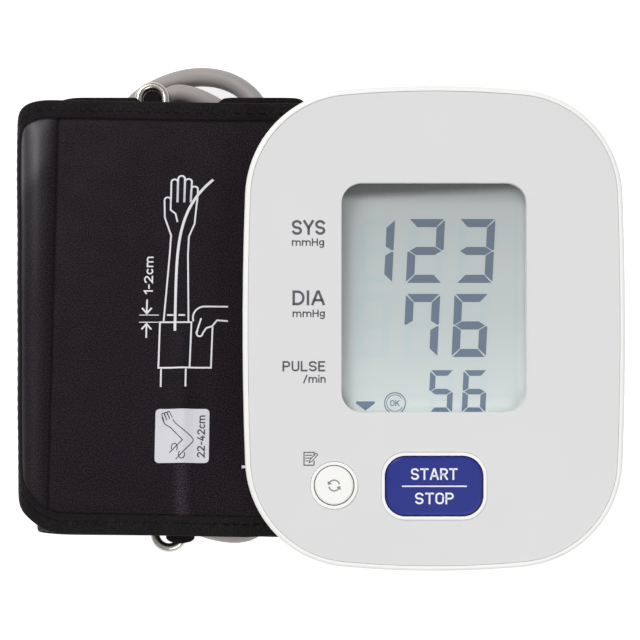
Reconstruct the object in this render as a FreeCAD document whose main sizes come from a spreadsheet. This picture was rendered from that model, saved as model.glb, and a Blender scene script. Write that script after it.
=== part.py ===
"""Upper arm blood pressure monitor with its rolled cuff, air hose and plug.

The monitor stands on four feet with its face tilted towards the user, who sits at -Y.  The cuff lies
rolled flat at its left.  Lengths are in millimetres and angles in degrees.
"""
import FreeCAD, Part
import Sketcher
import math
import os
import re

Vector = FreeCAD.Vector
Rotation = FreeCAD.Rotation
Placement = FreeCAD.Placement

# Driving dimensions, written once and kept in the document's spreadsheet
SIZES = {
    # Face and casing
    "face_width": 107.0, "face_length": 135.7, "face_side_radius": 1000.0, "face_end_radius": 275.0,
    "face_corner": 30.4, "face_tilt": 12.0, "rim_width": 1.5, "rim_round": 1.1, "rim_lip": 0.15,
    "panel_thick": 0.8, "panel_gap": 0.08, "plate_thick": 2.2, "wall": 2.2, "cover_depth": 10.0,
    "band_depth": 4.0, "band_draft": 0.4, "seam_step": 0.3,
    "base_margin": 3.0, "base_apron": 23.4, "base_shift": 8.0, "base_corner": 20.0,
    "base_side_radius": 800.0, "base_end_radius": 400.0, "floor_thick": 2.2,
    "foot_height": 1.5, "foot_radius": 5.0, "foot_seat": 0.8, "foot_spread": 20.0, "foot_apron": 10.0,
    # Screws and their posts
    "post_inset": 17.5, "post_radius": 3.2, "post_reach": 2.0, "screw_radius": 1.25, "screw_clear": 0.15,
    "screw_head_radius": 2.7, "screw_head_height": 2.0, "screw_grip": 8.0, "screw_bite": 6.0,
    "screw_short": 0.3, "boss_radius": 4.6, "boss_wall": 1.4, "board_post_edge": 8.2,
    "board_post_inset": 13.85, "board_post_radius": 2.4,
    "board_screw_radius": 0.85, "board_screw_clear": 0.05, "board_screw_bite": 4.0,
    "board_screw_head": 2.2, "board_screw_head_height": 1.4,
    # Display
    "window_width": 51.7, "window_length": 64.1, "window_corner": 5.7, "window_rise": 8.6,
    "lens_margin": 2.2, "lens_thick": 1.0, "lcd_margin": 1.7, "lcd_gap": 0.45, "lcd_thick": 2.0,
    "lcd_side_gap": 0.2, "lcd_frame_wall": 1.8, "lcd_ledge": 2.2, "lcd_ledge_thick": 1.0,
    "connector_margin": 5.7, "connector_depth": 2.4, "connector_inset": 3.2,
    # Board
    "board_thick": 1.6, "board_gap": 0.6, "board_inset": 10.0, "chip_width": 12.0, "chip_height": 1.6,
    "chip_across": 12.0, "chip_along": -16.0, "radio_width": 10.0, "radio_length": 12.0,
    "radio_height": 2.0, "radio_across": -18.0, "radio_along": -38.0,
    # Buttons and switches
    "start_width": 27.1, "start_length": 16.5, "start_corner": 5.6, "start_drop": 44.0,
    "sync_radius": 5.45, "sync_across": 27.9, "sync_drop": 43.8, "button_gap": 0.25,
    "collar_width": 0.9, "collar_proud": 0.15, "button_proud": 0.5, "button_round": 0.7,
    "flange_lip": 1.4, "flange_gap": 0.2, "flange_thick": 1.0, "stem_length": 0.65, "stem_radius": 2.6,
    "switch_width": 6.2, "switch_height": 3.4, "plunger_radius": 1.7, "plunger_out": 1.1,
    "plunger_in": 1.4, "plunger_gap": 0.06, "plunger_floor": 0.2, "press_travel": 0.6,
    # Batteries and their bay
    "battery_radius": 7.1, "battery_length": 49.3, "nub_radius": 2.7, "nub_height": 1.2,
    "battery_gap": 0.4, "contact_space": 3.6, "contact_width": 8.0, "contact_thick": 0.5,
    "bay_wall": 1.6, "bay_clear": 0.3, "cover_thick": 2.0, "cover_gap": 0.3, "cover_lap": 0.4,
    "ledge_gap": 0.15, "hinge_radius": 1.6, "hinge_pin_radius": 0.9, "hinge_pin_gap": 0.05,
    "hinge_pin_length": 1.2, "hinge_cheek": 2.0, "hinge_cover": 1.2,
    # Pump, motor and pad
    "pump_along": 26.0, "pump_clear": 2.9, "pump_pad": 0.6, "pump_radius": 12.5, "pump_length": 20.0,
    "pump_start": 8.0, "chamber_radius": 9.0, "chamber_depth": 9.5, "diaphragm_thick": 1.5,
    "motor_radius": 12.0, "motor_length": 26.0, "can_wall": 1.0, "endcap_thick": 2.0,
    "magnet_thick": 1.7, "magnet_inset": 2.0, "magnet_length": 18.0, "rotor_gap": 0.7, "core_length": 16.0,
    "shaft_radius": 1.0, "shaft_gap": 0.03, "shaft_short": 0.5, "crank_radius": 6.0, "crank_thick": 4.0,
    "crank_pin": 1.0, "crank_throw": 3.0, "crank_clear": 0.5, "commutator_radius": 2.6,
    "commutator_length": 2.5, "pad_length": 20.0, "pad_width": 14.0, "pad_grip": 5.0,
    # Air path
    "nipple_radius": 2.0, "nipple_bore": 1.0, "nipple_length": 5.0, "tube_wall": 1.2, "tube_slack": 0.5,
    "manifold_size": 10.0, "sensor_size": 8.0, "sensor_height": 3.4, "sensor_nipple": 1.3,
    "sensor_nipple_length": 2.6, "sensor_tube_wall": 1.0,
    "valve_width": 14.0, "valve_length": 22.0, "valve_height": 13.0, "valve_sheet": 1.5,
    "coil_radius": 5.9, "plug_core_radius": 2.5, "plug_core_gap": 0.06, "plug_core_length": 17.2,
    "valve_travel": 0.7, "valve_seat_gap": 0.1,
    "jack_radius": 5.5, "jack_bore": 3.0, "jack_bore_depth": 8.0, "jack_flange": 7.0,
    "jack_flange_thick": 2.0, "jack_boss": 8.0, "jack_boss_proud": 3.4,
    "dc_radius": 4.5, "dc_bore": 2.8, "dc_bore_depth": 9.5, "dc_pin": 0.7, "dc_length": 16.0,
    "dc_boss": 6.0, "dc_boss_proud": 2.6, "dc_rise": 10.0, "dc_along": 0.0,
    # Rolled cuff
    "cuff_width": 130.0, "cuff_shift": 13.9, "roll_width": 80.0, "cloth_thick": 0.75,
    "bladder_thick": 0.6, "layer_gap": 0.4, "core_height": 10.4, "flap_overhang": 5.95,
    "flap_corner": 10.0, "binding_width": 5.0, "cuff_gap": 0.1, "flap_bare": 30.0, "core_bare": 6.0,
    "hook_length": 25.0, "hook_width": 96.0, "hook_thick": 0.35, "hook_inset": 7.0,
    # Ring and its tab
    "ring_wire": 1.3, "ring_span": 8.4, "ring_length": 146.6, "ring_middle": 1.5, "ring_skew": 3.4,
    "ring_rise": 8.75, "tab_gap": 0.1, "tab_thick": 0.75, "tab_length": 110.0, "tab_bridge": 5.0,
    # Air hose, its fitting and plug
    "hose_radius": 3.0, "hose_bore": 1.6, "hose_lift": 0.2, "coil_gap": 0.6, "coil_right": 28.6,
    "coil_inner_right": 20.4, "coil_inner_bow": 12.0, "coil_top": 77.0, "coil_bottom": 66.5,
    "hose_start": -46.0, "hose_end": -26.0, "fitting_width": 6.2, "fitting_length": 12.0,
    "fitting_top": 3.2, "fitting_nipple": 1.5, "fitting_nipple_length": 8.0,
    "plug_width": 9.2, "plug_height": 6.2, "plug_length": 16.0,
    "nozzle_radius": 2.9, "nozzle_length": 8.0, "nozzle_bore": 1.2,
}
FOLDS = 3       # right-hand folds of the rolled cuff, and as many left-hand ones
BATTERIES = 4

doc = FreeCAD.newDocument("blood_pressure_monitor")
sheet = doc.addObject("Spreadsheet::Sheet", "Sizes")
for row, (alias, number) in enumerate(SIZES.items(), start=1):
    sheet.set(f"A{row}", alias)
    sheet.set(f"B{row}", str(number))
    sheet.setAlias(f"B{row}", alias)
doc.recompute()

subparts = []


def size(alias):
    """The number in a cell of the sheet."""
    return float(sheet.get(alias))


def bind(item, prop, formula):
    """Binds a property to a formula whose plain words are cells of the sheet."""
    def cell(match):
        return "Sizes." + match.group() if match.group() in SIZES else match.group()
    item.setExpression(prop, re.sub(r"[a-z_]+", cell, str(formula)))


# Levels and lengths that several pieces share, as formulas of the cells
PANEL_BED = "(rim_lip + panel_thick)"
PLATE_UNDER = "(rim_lip + panel_thick + plate_thick)"
LENS_UNDER = f"({PLATE_UNDER} + lens_thick)"
LCD_TOP = f"({LENS_UNDER} + lcd_gap)"
LCD_UNDER = f"({LCD_TOP} + lcd_thick)"
FLANGE_TOP = f"({PLATE_UNDER} + flange_gap)"
FLANGE_UNDER = f"({FLANGE_TOP} + flange_thick)"
PLUNGER_TOP = f"({FLANGE_UNDER} + stem_length)"
SWITCH_TOP = f"({PLUNGER_TOP} + plunger_out)"
BOARD_TOP = f"({SWITCH_TOP} + switch_height)"
BOARD_UNDER = f"({BOARD_TOP} + board_thick)"
POST_ACROSS = "(face_width / 2 - post_inset)"
POST_ALONG = "(face_length / 2 - post_inset)"
POST_END = "(cover_depth + post_reach)"
BOARD_POST_ALONG = "(face_length / 2 - board_post_inset)"
BOARD_WIDTH = f"(2 * ({POST_ACROSS} - post_radius - board_gap))"
BOARD_LENGTH = "(face_length - 2 * board_inset)"
BOARD_POST_ACROSS = f"({BOARD_WIDTH} / 2 - board_post_edge)"
PUMP_DEPTH = f"({BOARD_UNDER} + pump_clear + pump_radius)"
MOTOR_START = "(pump_length - pump_start)"
MANIFOLD_RIGHT = "(pump_start + 2 * nipple_length + tube_slack)"
MANIFOLD_LEFT = f"({MANIFOLD_RIGHT} + manifold_size)"
JACK_SHOULDER = f"({MANIFOLD_LEFT} + 2 * nipple_length + tube_slack)"
MANIFOLD_MIDDLE = f"({MANIFOLD_RIGHT} + manifold_size / 2)"
COVER_TOP = "(foot_height + cover_thick)"
BATTERY_UNDER = f"({COVER_TOP} + bay_clear)"
BATTERY_MIDDLE = f"({BATTERY_UNDER} + battery_radius)"
BAY_ROOF = f"({BATTERY_UNDER} + 2 * battery_radius + bay_clear)"
ROOF_TOP = f"({BAY_ROOF} + bay_wall)"
BATTERY_PITCH = "(2 * battery_radius + battery_gap)"
BAY_HALF = f"({BATTERIES} * {BATTERY_PITCH} / 2)"
BAY_LENGTH = "(battery_length + nub_height + 2 * contact_space)"
BAY_BACK = f"(base_shift + {BAY_LENGTH} / 2)"
BAY_FRONT = f"(base_shift - {BAY_LENGTH} / 2)"
BASE_WIDTH = f"(2 * ({BAY_HALF} + bay_wall + base_margin))"
BASE_LENGTH = f"({BAY_LENGTH} + 2 * bay_wall + 2 * base_apron)"
HINGE_ALONG = f"({BAY_BACK} + bay_wall + 2 * cover_gap + hinge_radius)"
HINGE_LEVEL = "(foot_height + hinge_radius)"
COVER_HALF = f"({BAY_HALF} + bay_wall + cover_lap)"


def value(formula):
    """The number that a formula of cells works out to, read from a scratch cell of the sheet."""
    sheet.set("D1", "=" + formula)
    sheet.recompute()
    return float(sheet.get("D1"))


# Placements of the three frames: the tilted face, the monitor's base and the cuff
TILT = math.radians(size("face_tilt"))
FACE_RISE = (value(ROOF_TOP) + size("pump_pad") + size("pump_radius")
             - size("pump_along") * math.sin(TILT) + value(PUMP_DEPTH) * math.cos(TILT))
BAND_THICK = 2 * size("cloth_thick")
LAYER_PITCH = BAND_THICK + size("layer_gap")
ROLL_HEIGHT = (2 * FOLDS - 1) * LAYER_PITCH + 2 * BAND_THICK + size("core_height")


def roll_reach():
    """Distance from the monitor's middle to the roll's right-hand fold, which lies under the slanted
    side wall: the fold's half round keeps its gap to the wall at the front end of the straight side."""
    radius = ROLL_HEIGHT / 2
    front = size("base_shift") - value(BASE_LENGTH) / 2 + size("base_corner")
    seam = size("cover_depth") + size("band_depth")
    rise = FACE_RISE + front * math.tan(TILT) - seam / math.cos(TILT) - size("foot_height")
    half_base = value(BASE_WIDTH) / 2
    run = size("face_width") / 2 - half_base
    slant = math.hypot(run, rise)
    clear = radius + size("cuff_gap") + run / slant * (radius - size("foot_height"))
    return half_base + clear * slant / rise - radius


CUFF_OFFSET = roll_reach() + size("roll_width") / 2
MONITOR_X = (CUFF_OFFSET + size("roll_width") / 2 - size("face_width") / 2) / 2
FRONT_REACH = size("face_length") / 2 * math.cos(TILT)
RING_SKEW = math.radians(size("ring_skew"))
RING_END = size("ring_wire") + size("ring_span") / 2
RING_REACH = (size("ring_length") / 2 - RING_END) * math.cos(RING_SKEW) + RING_END
MONITOR_Y = (FRONT_REACH - size("cuff_shift") - RING_REACH) / 2
FACE = Placement(Vector(MONITOR_X, MONITOR_Y, FACE_RISE), Rotation(Vector(1, 0, 0), size("face_tilt")))
BASE = Placement(Vector(MONITOR_X, MONITOR_Y, 0), Rotation())
CUFF = Placement(Vector(MONITOR_X - CUFF_OFFSET, MONITOR_Y + size("cuff_shift"), 0), Rotation())
ALONG = {"x": Rotation(Vector(0, 1, 0), 90), "y": Rotation(Vector(1, 0, 0), -90), "z": Rotation()}


# Building blocks
def new_body(label, frame):
    """A named sub-part in one of the frames."""
    body = doc.addObject("PartDesign::Body", label)
    body.Label = label
    body.Placement = frame
    subparts.append(body)
    return body


def put(feature, at):
    """Binds the feature's base point to three formulas."""
    for axis, formula in zip("xyz", at):
        bind(feature, f"Placement.Base.{axis}", formula)


def block(body, at, extent, cut=False):
    """A box from its lowest corner."""
    feature = body.newObject("PartDesign::SubtractiveBox" if cut else "PartDesign::AdditiveBox", "Block")
    for prop, formula in zip(("Length", "Width", "Height"), extent):
        bind(feature, prop, formula)
    put(feature, at)
    return feature


def rod(body, at, radius, length, along="z", cut=False):
    """A cylinder from the middle of its lowest end."""
    kind = "PartDesign::SubtractiveCylinder" if cut else "PartDesign::AdditiveCylinder"
    feature = body.newObject(kind, "Rod")
    feature.Placement = Placement(Vector(), ALONG[along])
    bind(feature, "Radius", radius)
    bind(feature, "Height", length)
    put(feature, at)
    return feature


def corner_middle(half_width, half_length, side, end, corner):
    """Middle of the corner arc that touches a side arc and an end arc from inside, by Newton steps."""
    x = half_width - corner
    y = half_length - corner
    for _ in range(30):
        to_side = math.hypot(x - half_width + side, y)
        to_end = math.hypot(x, y - half_length + end)
        side_error = to_side - (side - corner)
        end_error = to_end - (end - corner)
        side_x = (x - half_width + side) / to_side
        side_y = y / to_side
        end_x = x / to_end
        end_y = (y - half_length + end) / to_end
        scale = side_x * end_y - side_y * end_x
        x -= (side_error * end_y - end_error * side_y) / scale
        y -= (end_error * side_x - side_error * end_x) / scale
    return x, y


def bowed_arcs(half_width, half_length, side, end, corner):
    """Eight tangent arcs, counter-clockwise from the right side: middle, radius, first and last angle."""
    x, y = corner_middle(half_width, half_length, side, end, corner)
    low = math.atan2(y, x - half_width + side)
    high = math.atan2(y - half_length + end, x)
    half = math.pi
    return [
        ((half_width - side, 0), side, -low, low),
        ((x, y), corner, low, high),
        ((0, half_length - end), end, high, half - high),
        ((-x, y), corner, half - high, half - low),
        ((side - half_width, 0), side, half - low, half + low),
        ((-x, -y), corner, half + low, half + high),
        ((0, end - half_length), end, half + high, 2 * half - high),
        ((x, -y), corner, 2 * half - high, 2 * half - low),
    ]


def attach(body, sketch, at):
    """Lays a sketch on its body's own XY plane, moved to a point given by formulas."""
    plane = [item for item in body.Origin.OriginFeatures if item.Role == "XY_Plane"][0]
    sketch.AttachmentSupport = [(plane, "")]
    sketch.MapMode = "FlatFace"
    for axis, formula in zip("xyz", at):
        bind(sketch, f"AttachmentOffset.Base.{axis}", formula)


def named(sketch, name, constraint, formula):
    """Adds a dimension to a sketch and binds it to a formula."""
    index = sketch.addConstraint(constraint)
    sketch.renameConstraint(index, name)
    bind(sketch, f"Constraints.{name}", formula)


def draw_bowed(sketch, inset, prefix, width, length):
    """Draws the outline with bowed sides and ends, moved inwards by an inset formula."""
    offset = value(inset)
    side = size(f"{prefix}_side_radius") - offset
    end = size(f"{prefix}_end_radius") - offset
    corner = size(f"{prefix}_corner") - offset
    half_width = value(width) / 2 - offset
    half_length = value(length) / 2 - offset
    for middle, radius, first, last in bowed_arcs(half_width, half_length, side, end, corner):
        circle = Part.Circle(Vector(*middle, 0), Vector(0, 0, 1), radius)
        sketch.addGeometry(Part.ArcOfCircle(circle, first, last))
    for index in range(8):
        sketch.addConstraint(Sketcher.Constraint("Tangent", index, 2, (index + 1) % 8, 1))
    for index, axis in ((0, -1), (4, -1), (2, -2), (6, -2)):
        sketch.addConstraint(Sketcher.Constraint("PointOnObject", index, 3, axis))
    for first, second in ((0, 4), (2, 6), (1, 3), (1, 5), (1, 7)):
        sketch.addConstraint(Sketcher.Constraint("Equal", first, second))
    named(sketch, "side", Sketcher.Constraint("Radius", 0, side), f"{prefix}_side_radius - {inset}")
    named(sketch, "end", Sketcher.Constraint("Radius", 2, end), f"{prefix}_end_radius - {inset}")
    named(sketch, "corner", Sketcher.Constraint("Radius", 1, corner), f"{prefix}_corner - {inset}")
    across = f"{prefix}_side_radius - {width} / 2"
    along = f"{prefix}_end_radius - {length} / 2"
    named(sketch, "right", Sketcher.Constraint("DistanceX", 0, 3, -1, 1, side - half_width), across)
    named(sketch, "left", Sketcher.Constraint("DistanceX", -1, 1, 4, 3, side - half_width), across)
    named(sketch, "back", Sketcher.Constraint("DistanceY", 2, 3, -1, 1, end - half_length), along)
    named(sketch, "front", Sketcher.Constraint("DistanceY", -1, 1, 6, 3, end - half_length), along)


def face_sketch(body, level, inset):
    """The face's outline on a plane of the tilted frame."""
    sketch = body.newObject("Sketcher::SketchObject", "Outline")
    draw_bowed(sketch, inset, "face", "face_width", "face_length")
    attach(body, sketch, ("0", "0", level))
    return sketch


def rounded_sketch(body, at, width, length, corner):
    """A rectangle with round corners, middle at a point given by formulas."""
    half_width = value(width) / 2
    half_length = value(length) / 2
    radius = value(corner)
    x = half_width - radius
    y = half_length - radius
    sketch = body.newObject("Sketcher::SketchObject", "Rounded")
    ends = [((half_width, -y), (half_width, y)), ((x, half_length), (-x, half_length)),
            ((-half_width, y), (-half_width, -y)), ((-x, -half_length), (x, -half_length))]
    middles = [(x, y), (-x, y), (-x, -y), (x, -y)]
    for turn in range(4):
        start, stop = ends[turn]
        sketch.addGeometry(Part.LineSegment(Vector(*start, 0), Vector(*stop, 0)))
        circle = Part.Circle(Vector(*middles[turn], 0), Vector(0, 0, 1), radius)
        sketch.addGeometry(Part.ArcOfCircle(circle, turn * math.pi / 2, (turn + 1) * math.pi / 2))
    for index in range(8):
        sketch.addConstraint(Sketcher.Constraint("Tangent", index, 2, (index + 1) % 8, 1))
    for index, kind in ((0, "Vertical"), (2, "Horizontal"), (4, "Vertical"), (6, "Horizontal")):
        sketch.addConstraint(Sketcher.Constraint(kind, index))
    for index in (3, 5, 7):
        sketch.addConstraint(Sketcher.Constraint("Equal", 1, index))
    named(sketch, "corner", Sketcher.Constraint("Radius", 1, radius), corner)
    named(sketch, "right", Sketcher.Constraint("DistanceX", -1, 1, 0, 1, half_width), f"{width} / 2")
    named(sketch, "left", Sketcher.Constraint("DistanceX", 4, 1, -1, 1, half_width), f"{width} / 2")
    named(sketch, "back", Sketcher.Constraint("DistanceY", -1, 1, 2, 1, half_length), f"{length} / 2")
    named(sketch, "front", Sketcher.Constraint("DistanceY", 6, 1, -1, 1, half_length), f"{length} / 2")
    attach(body, sketch, at)
    return sketch


def raise_up(body, sketch, length):
    """Pads a sketch upwards."""
    feature = body.newObject("PartDesign::Pad", "Raised")
    feature.Profile = sketch
    bind(feature, "Length", length)
    return feature


def cut_down(body, sketch, depth, upwards=False):
    """Pockets a sketch downwards, or upwards."""
    feature = body.newObject("PartDesign::Pocket", "Sunk")
    feature.Profile = sketch
    feature.Reversed = upwards
    bind(feature, "Length", depth)
    return feature


def rounded_block(body, at, width, length, corner, height):
    return raise_up(body, rounded_sketch(body, at, width, length, corner), height)


def rounded_hole(body, at, width, length, corner, depth):
    return cut_down(body, rounded_sketch(body, at, width, length, corner), depth)


def round_top(body, level, radius):
    """Rounds the edges that lie at one level of the body's last shape."""
    doc.recompute()
    base = body.Tip
    height = value(level)
    names = []
    for index, edge in enumerate(base.Shape.Edges, start=1):
        if all(abs(vertex.Point.z - height) < 1e-6 for vertex in edge.Vertexes):
            names.append(f"Edge{index}")
    fillet = body.newObject("PartDesign::Fillet", "Rounding")
    fillet.Base = (base, names)
    bind(fillet, "Radius", radius)


def keep_shape(label, shape, frame):
    """A sub-part whose shape is worked out here rather than from features."""
    item = doc.addObject("Part::Feature", label)
    item.Label = label
    item.Shape = shape
    item.Placement = frame
    subparts.append(item)
    return item


def corners(across, along):
    """The four corners of a rectangle, as pairs of formulas."""
    return [(f"{sign_x}{across}", f"{sign_y}{along}") for sign_x in ("", "-") for sign_y in ("", "-")]


# Casing, seen from the front
START = ("0", "-start_drop")
SYNC = ("-sync_across", "-sync_drop")
WINDOW = ("window_width", "window_length", "window_corner")
START_HOLE = tuple(f"(start_{part} + {times} * button_gap)"
                   for part, times in (("width", 2), ("length", 2), ("corner", 1)))
START_COLLAR = tuple(f"({formula} + {times} * collar_width)"
                     for formula, times in zip(START_HOLE, (2, 2, 1)))
SYNC_HOLE = "(sync_radius + button_gap)"
SYNC_COLLAR = f"({SYNC_HOLE} + collar_width)"


def make_front_cover():
    body = new_body("front_cover", FACE)
    raise_up(body, face_sketch(body, "-cover_depth", "0"), "cover_depth")
    round_top(body, "0", "rim_round")
    cut_down(body, face_sketch(body, "0", "rim_width"), PANEL_BED)
    cut_down(body, face_sketch(body, "-cover_depth", "wall"), f"cover_depth - {PLATE_UNDER}", upwards=True)
    bed = f"-{PANEL_BED}"
    collar = f"{PANEL_BED} + collar_proud"
    rounded_block(body, (*START, bed), *START_COLLAR, collar)
    rod(body, (*SYNC, bed), SYNC_COLLAR, collar)
    for across, along in corners(POST_ACROSS, POST_ALONG):
        rod(body, (across, along, f"-{POST_END}"), "post_radius", f"{POST_END} - {PLATE_UNDER}")
        rod(body, (across, along, f"-{POST_END}"), "screw_radius", "screw_bite", cut=True)
    for across, along in corners(BOARD_POST_ACROSS, BOARD_POST_ALONG):
        rod(body, (across, along, f"-{BOARD_TOP}"), "board_post_radius", f"{BOARD_TOP} - {PLATE_UNDER}")
        rod(body, (across, along, f"-{BOARD_TOP}"), "board_screw_radius + board_screw_clear",
            "board_screw_bite", cut=True)
    rounded_hole(body, ("0", "window_rise", "0"), *WINDOW, f"{PLATE_UNDER} + 1")
    rounded_hole(body, (*START, "collar_proud"), *START_HOLE, f"{PLATE_UNDER} + collar_proud + 1")
    rod(body, (*SYNC, f"-{PLATE_UNDER} - 1"), SYNC_HOLE, f"{PLATE_UNDER} + collar_proud + 1", cut=True)


def make_face_panel():
    body = new_body("face_panel", FACE)
    raise_up(body, face_sketch(body, f"-{PANEL_BED}", "(rim_width + panel_gap)"), "panel_thick")
    rounded_hole(body, ("0", "window_rise", "-rim_lip"), *WINDOW, "panel_thick")
    around = [f"({formula} + {times} * panel_gap)" for formula, times in zip(START_COLLAR, (2, 2, 1))]
    rounded_hole(body, (*START, "-rim_lip"), *around, "panel_thick")
    rod(body, (*SYNC, f"-{PANEL_BED}"), f"{SYNC_COLLAR} + panel_gap", "panel_thick", cut=True)


def make_button(label, place, width, length, corner):
    """A rounded cap that stands in its collar, with a flange under the cover and a stem to its switch."""
    body = new_body(label, FACE)
    rounded_block(body, (*place, f"-{FLANGE_TOP}"), width, length, corner, f"{FLANGE_TOP} + button_proud")
    round_top(body, "button_proud", "button_round")
    rounded_block(body, (*place, f"-{FLANGE_UNDER}"), f"({width} + 2 * flange_lip)",
                  f"({length} + 2 * flange_lip)", f"({corner} + flange_lip)", "flange_thick")
    rod(body, (*place, f"-{PLUNGER_TOP}"), "stem_radius", "stem_length")


def make_round_button(label, place, radius):
    body = new_body(label, FACE)
    rod(body, (*place, f"-{FLANGE_TOP}"), radius, f"{FLANGE_TOP} + button_proud")
    round_top(body, "button_proud", "button_round")
    rod(body, (*place, f"-{FLANGE_UNDER}"), f"{radius} + flange_lip", "flange_thick")
    rod(body, (*place, f"-{PLUNGER_TOP}"), "stem_radius", "stem_length")


def make_switch(key, place):
    """A square push switch on the board, and the plunger that its button pushes down."""
    across, along = place
    case = new_body(f"{key}_switch", FACE)
    block(case, (f"{across} - switch_width / 2", f"{along} - switch_width / 2", f"-{BOARD_TOP}"),
          ("switch_width", "switch_width", "switch_height"))
    well = "(plunger_in + press_travel + plunger_floor)"
    rod(case, (across, along, f"-{SWITCH_TOP} - {well}"), "plunger_radius + plunger_gap", well, cut=True)
    plunger = new_body(f"{key}_plunger", FACE)
    rod(plunger, (across, along, f"-{SWITCH_TOP} - plunger_in"), "plunger_radius",
        "plunger_in + plunger_out")


# Display and board
def centred(body, across, along, level, width, length, height, cut=False):
    """A box given by the middle of its lowest face."""
    return block(body, (f"{across} - {width} / 2", f"{along} - {length} / 2", level),
                 (width, length, height), cut)


def make_display():
    lens = new_body("display_lens", FACE)
    rounded_block(lens, ("0", "window_rise", f"-{LENS_UNDER}"), "(window_width + 2 * lens_margin)",
                  "(window_length + 2 * lens_margin)", "window_corner", "lens_thick")
    glass_width = "(window_width + 2 * lcd_margin)"
    glass_length = "(window_length + 2 * lcd_margin)"
    glass = new_body("lcd_glass", FACE)
    centred(glass, "0", "window_rise", f"-{LCD_UNDER}", glass_width, glass_length, "lcd_thick")
    frame = new_body("lcd_frame", FACE)
    well_width = f"({glass_width} + 2 * lcd_side_gap)"
    well_length = f"({glass_length} + 2 * lcd_side_gap)"
    centred(frame, "0", "window_rise", f"-{BOARD_TOP}", f"({well_width} + 2 * lcd_frame_wall)",
            f"({well_length} + 2 * lcd_frame_wall)", f"{BOARD_TOP} - {LENS_UNDER}")
    centred(frame, "0", "window_rise", f"-{LCD_UNDER}", well_width, well_length,
            f"{LCD_UNDER} - {LENS_UNDER}", cut=True)
    centred(frame, "0", "window_rise", f"-{BOARD_TOP}", f"({well_width} - 2 * lcd_ledge)",
            f"({well_length} - 2 * lcd_ledge)", f"{BOARD_TOP} - {LCD_UNDER}", cut=True)
    centred(frame, "0", "window_rise", f"-{BOARD_TOP}", well_width, well_length,
            f"{BOARD_TOP} - {LCD_UNDER} - lcd_ledge_thick", cut=True)
    strip = new_body("lcd_connector", FACE)
    low_edge = f"window_rise - {glass_length} / 2 + connector_inset"
    centred(strip, "0", f"({low_edge})", f"-{BOARD_TOP}", "(window_width - connector_margin)",
            "connector_depth", f"{BOARD_TOP} - {LCD_UNDER}")


def make_board():
    board = new_body("main_board", FACE)
    centred(board, "0", "0", f"-{BOARD_UNDER}", BOARD_WIDTH, BOARD_LENGTH, "board_thick")
    for across, along in corners(BOARD_POST_ACROSS, BOARD_POST_ALONG):
        rod(board, (across, along, f"-{BOARD_UNDER}"), "board_screw_radius + board_screw_clear",
            "board_thick", cut=True)
    chip = new_body("control_chip", FACE)
    centred(chip, "chip_across", "chip_along", f"-{BOARD_UNDER} - chip_height", "chip_width", "chip_width",
            "chip_height")
    radio = new_body("radio_module", FACE)
    centred(radio, "radio_across", "radio_along", f"-{BOARD_UNDER} - radio_height", "radio_width",
            "radio_length", "radio_height")


def make_group(label, frame, shapes):
    """Like pieces in one node, as separate solids."""
    keep_shape(label, Part.makeCompound(shapes), frame)


def screw(across, along, head_level, head_radius, head_height, radius, length):
    """A pan head screw that points up from the top of its head."""
    base = Vector(value(across), value(along), head_level)
    head = Part.makeCylinder(head_radius, head_height, base - Vector(0, 0, head_height))
    slot = Part.makeBox(2 * head_radius, head_height / 4, head_height / 2,
                        base - Vector(head_radius, head_height / 8, head_height))
    return head.cut(slot).fuse(Part.makeCylinder(radius, length, base)).removeSplitter()


def make_screws():
    level = -value(BOARD_UNDER)
    length = size("board_thick") + size("board_screw_bite") - size("screw_short")
    make_group("board_screws", FACE, [
        screw(across, along, level, size("board_screw_head"), size("board_screw_head_height"),
              size("board_screw_radius"), length)
        for across, along in corners(BOARD_POST_ACROSS, BOARD_POST_ALONG)])
    level = -value(POST_END) - size("screw_grip")
    make_group("case_screws", FACE, [
        screw(across, along, level, size("screw_head_radius"), size("screw_head_height"),
              size("screw_radius"), size("screw_grip") + size("screw_bite") - size("screw_short"))
        for across, along in corners(POST_ACROSS, POST_ALONG)])


# Rear case with its battery bay, bosses and hinge cheeks
def bowed_wire(inset, prefix, width, length, frame, level):
    """The outline as a closed wire on a plane of a frame, starting at the right side."""
    sides = [size(f"{prefix}_{part}") - inset for part in ("side_radius", "end_radius", "corner")]
    halves = [value(width) / 2 - inset, value(length) / 2 - inset]
    edges = []
    for middle, radius, first, last in bowed_arcs(*halves, *sides):
        circle = Part.Circle(Vector(*middle, level), Vector(0, 0, 1), radius)
        edges.append(Part.ArcOfCircle(circle, first, last).toShape())
    wire = Part.Wire(edges)
    wire.Placement = frame
    return wire


def case_loft(inset, top_rise, floor_level):
    """Straight band under the seam, then ruled walls that run in to the smaller base."""
    seam = -size("cover_depth")
    band = seam - size("band_depth")
    base = Placement(Vector(MONITOR_X, MONITOR_Y + size("base_shift"), 0), Rotation())
    step = size("seam_step")
    wires = [
        bowed_wire(inset + step, "face", "face_width", "face_length", FACE, seam + top_rise),
        bowed_wire(inset + size("band_draft") + step, "face", "face_width", "face_length", FACE, band),
        bowed_wire(inset, "base", BASE_WIDTH, BASE_LENGTH, base, floor_level),
    ]
    return Part.makeLoft(wires, True, True)


def base_box(x_low, x_high, y_low, y_high, z_low, z_high):
    """A box in the monitor's base frame from its limits."""
    corner = Vector(MONITOR_X + x_low, MONITOR_Y + y_low, z_low)
    return Part.makeBox(x_high - x_low, y_high - y_low, z_high - z_low, corner)


def face_rod(across, along, low, high, radius):
    """A cylinder along the face's normal."""
    rod_shape = Part.makeCylinder(radius, high - low, Vector(across, along, low))
    rod_shape.Placement = FACE
    return rod_shape


def side_rod(low, high, radius, along, depth):
    """A cylinder along X between two distances right of the monitor's middle, in the tilted frame."""
    rod_shape = Part.makeCylinder(radius, high - low, Vector(low, along, -depth), Vector(1, 0, 0))
    rod_shape.Placement = FACE
    return rod_shape


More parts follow.
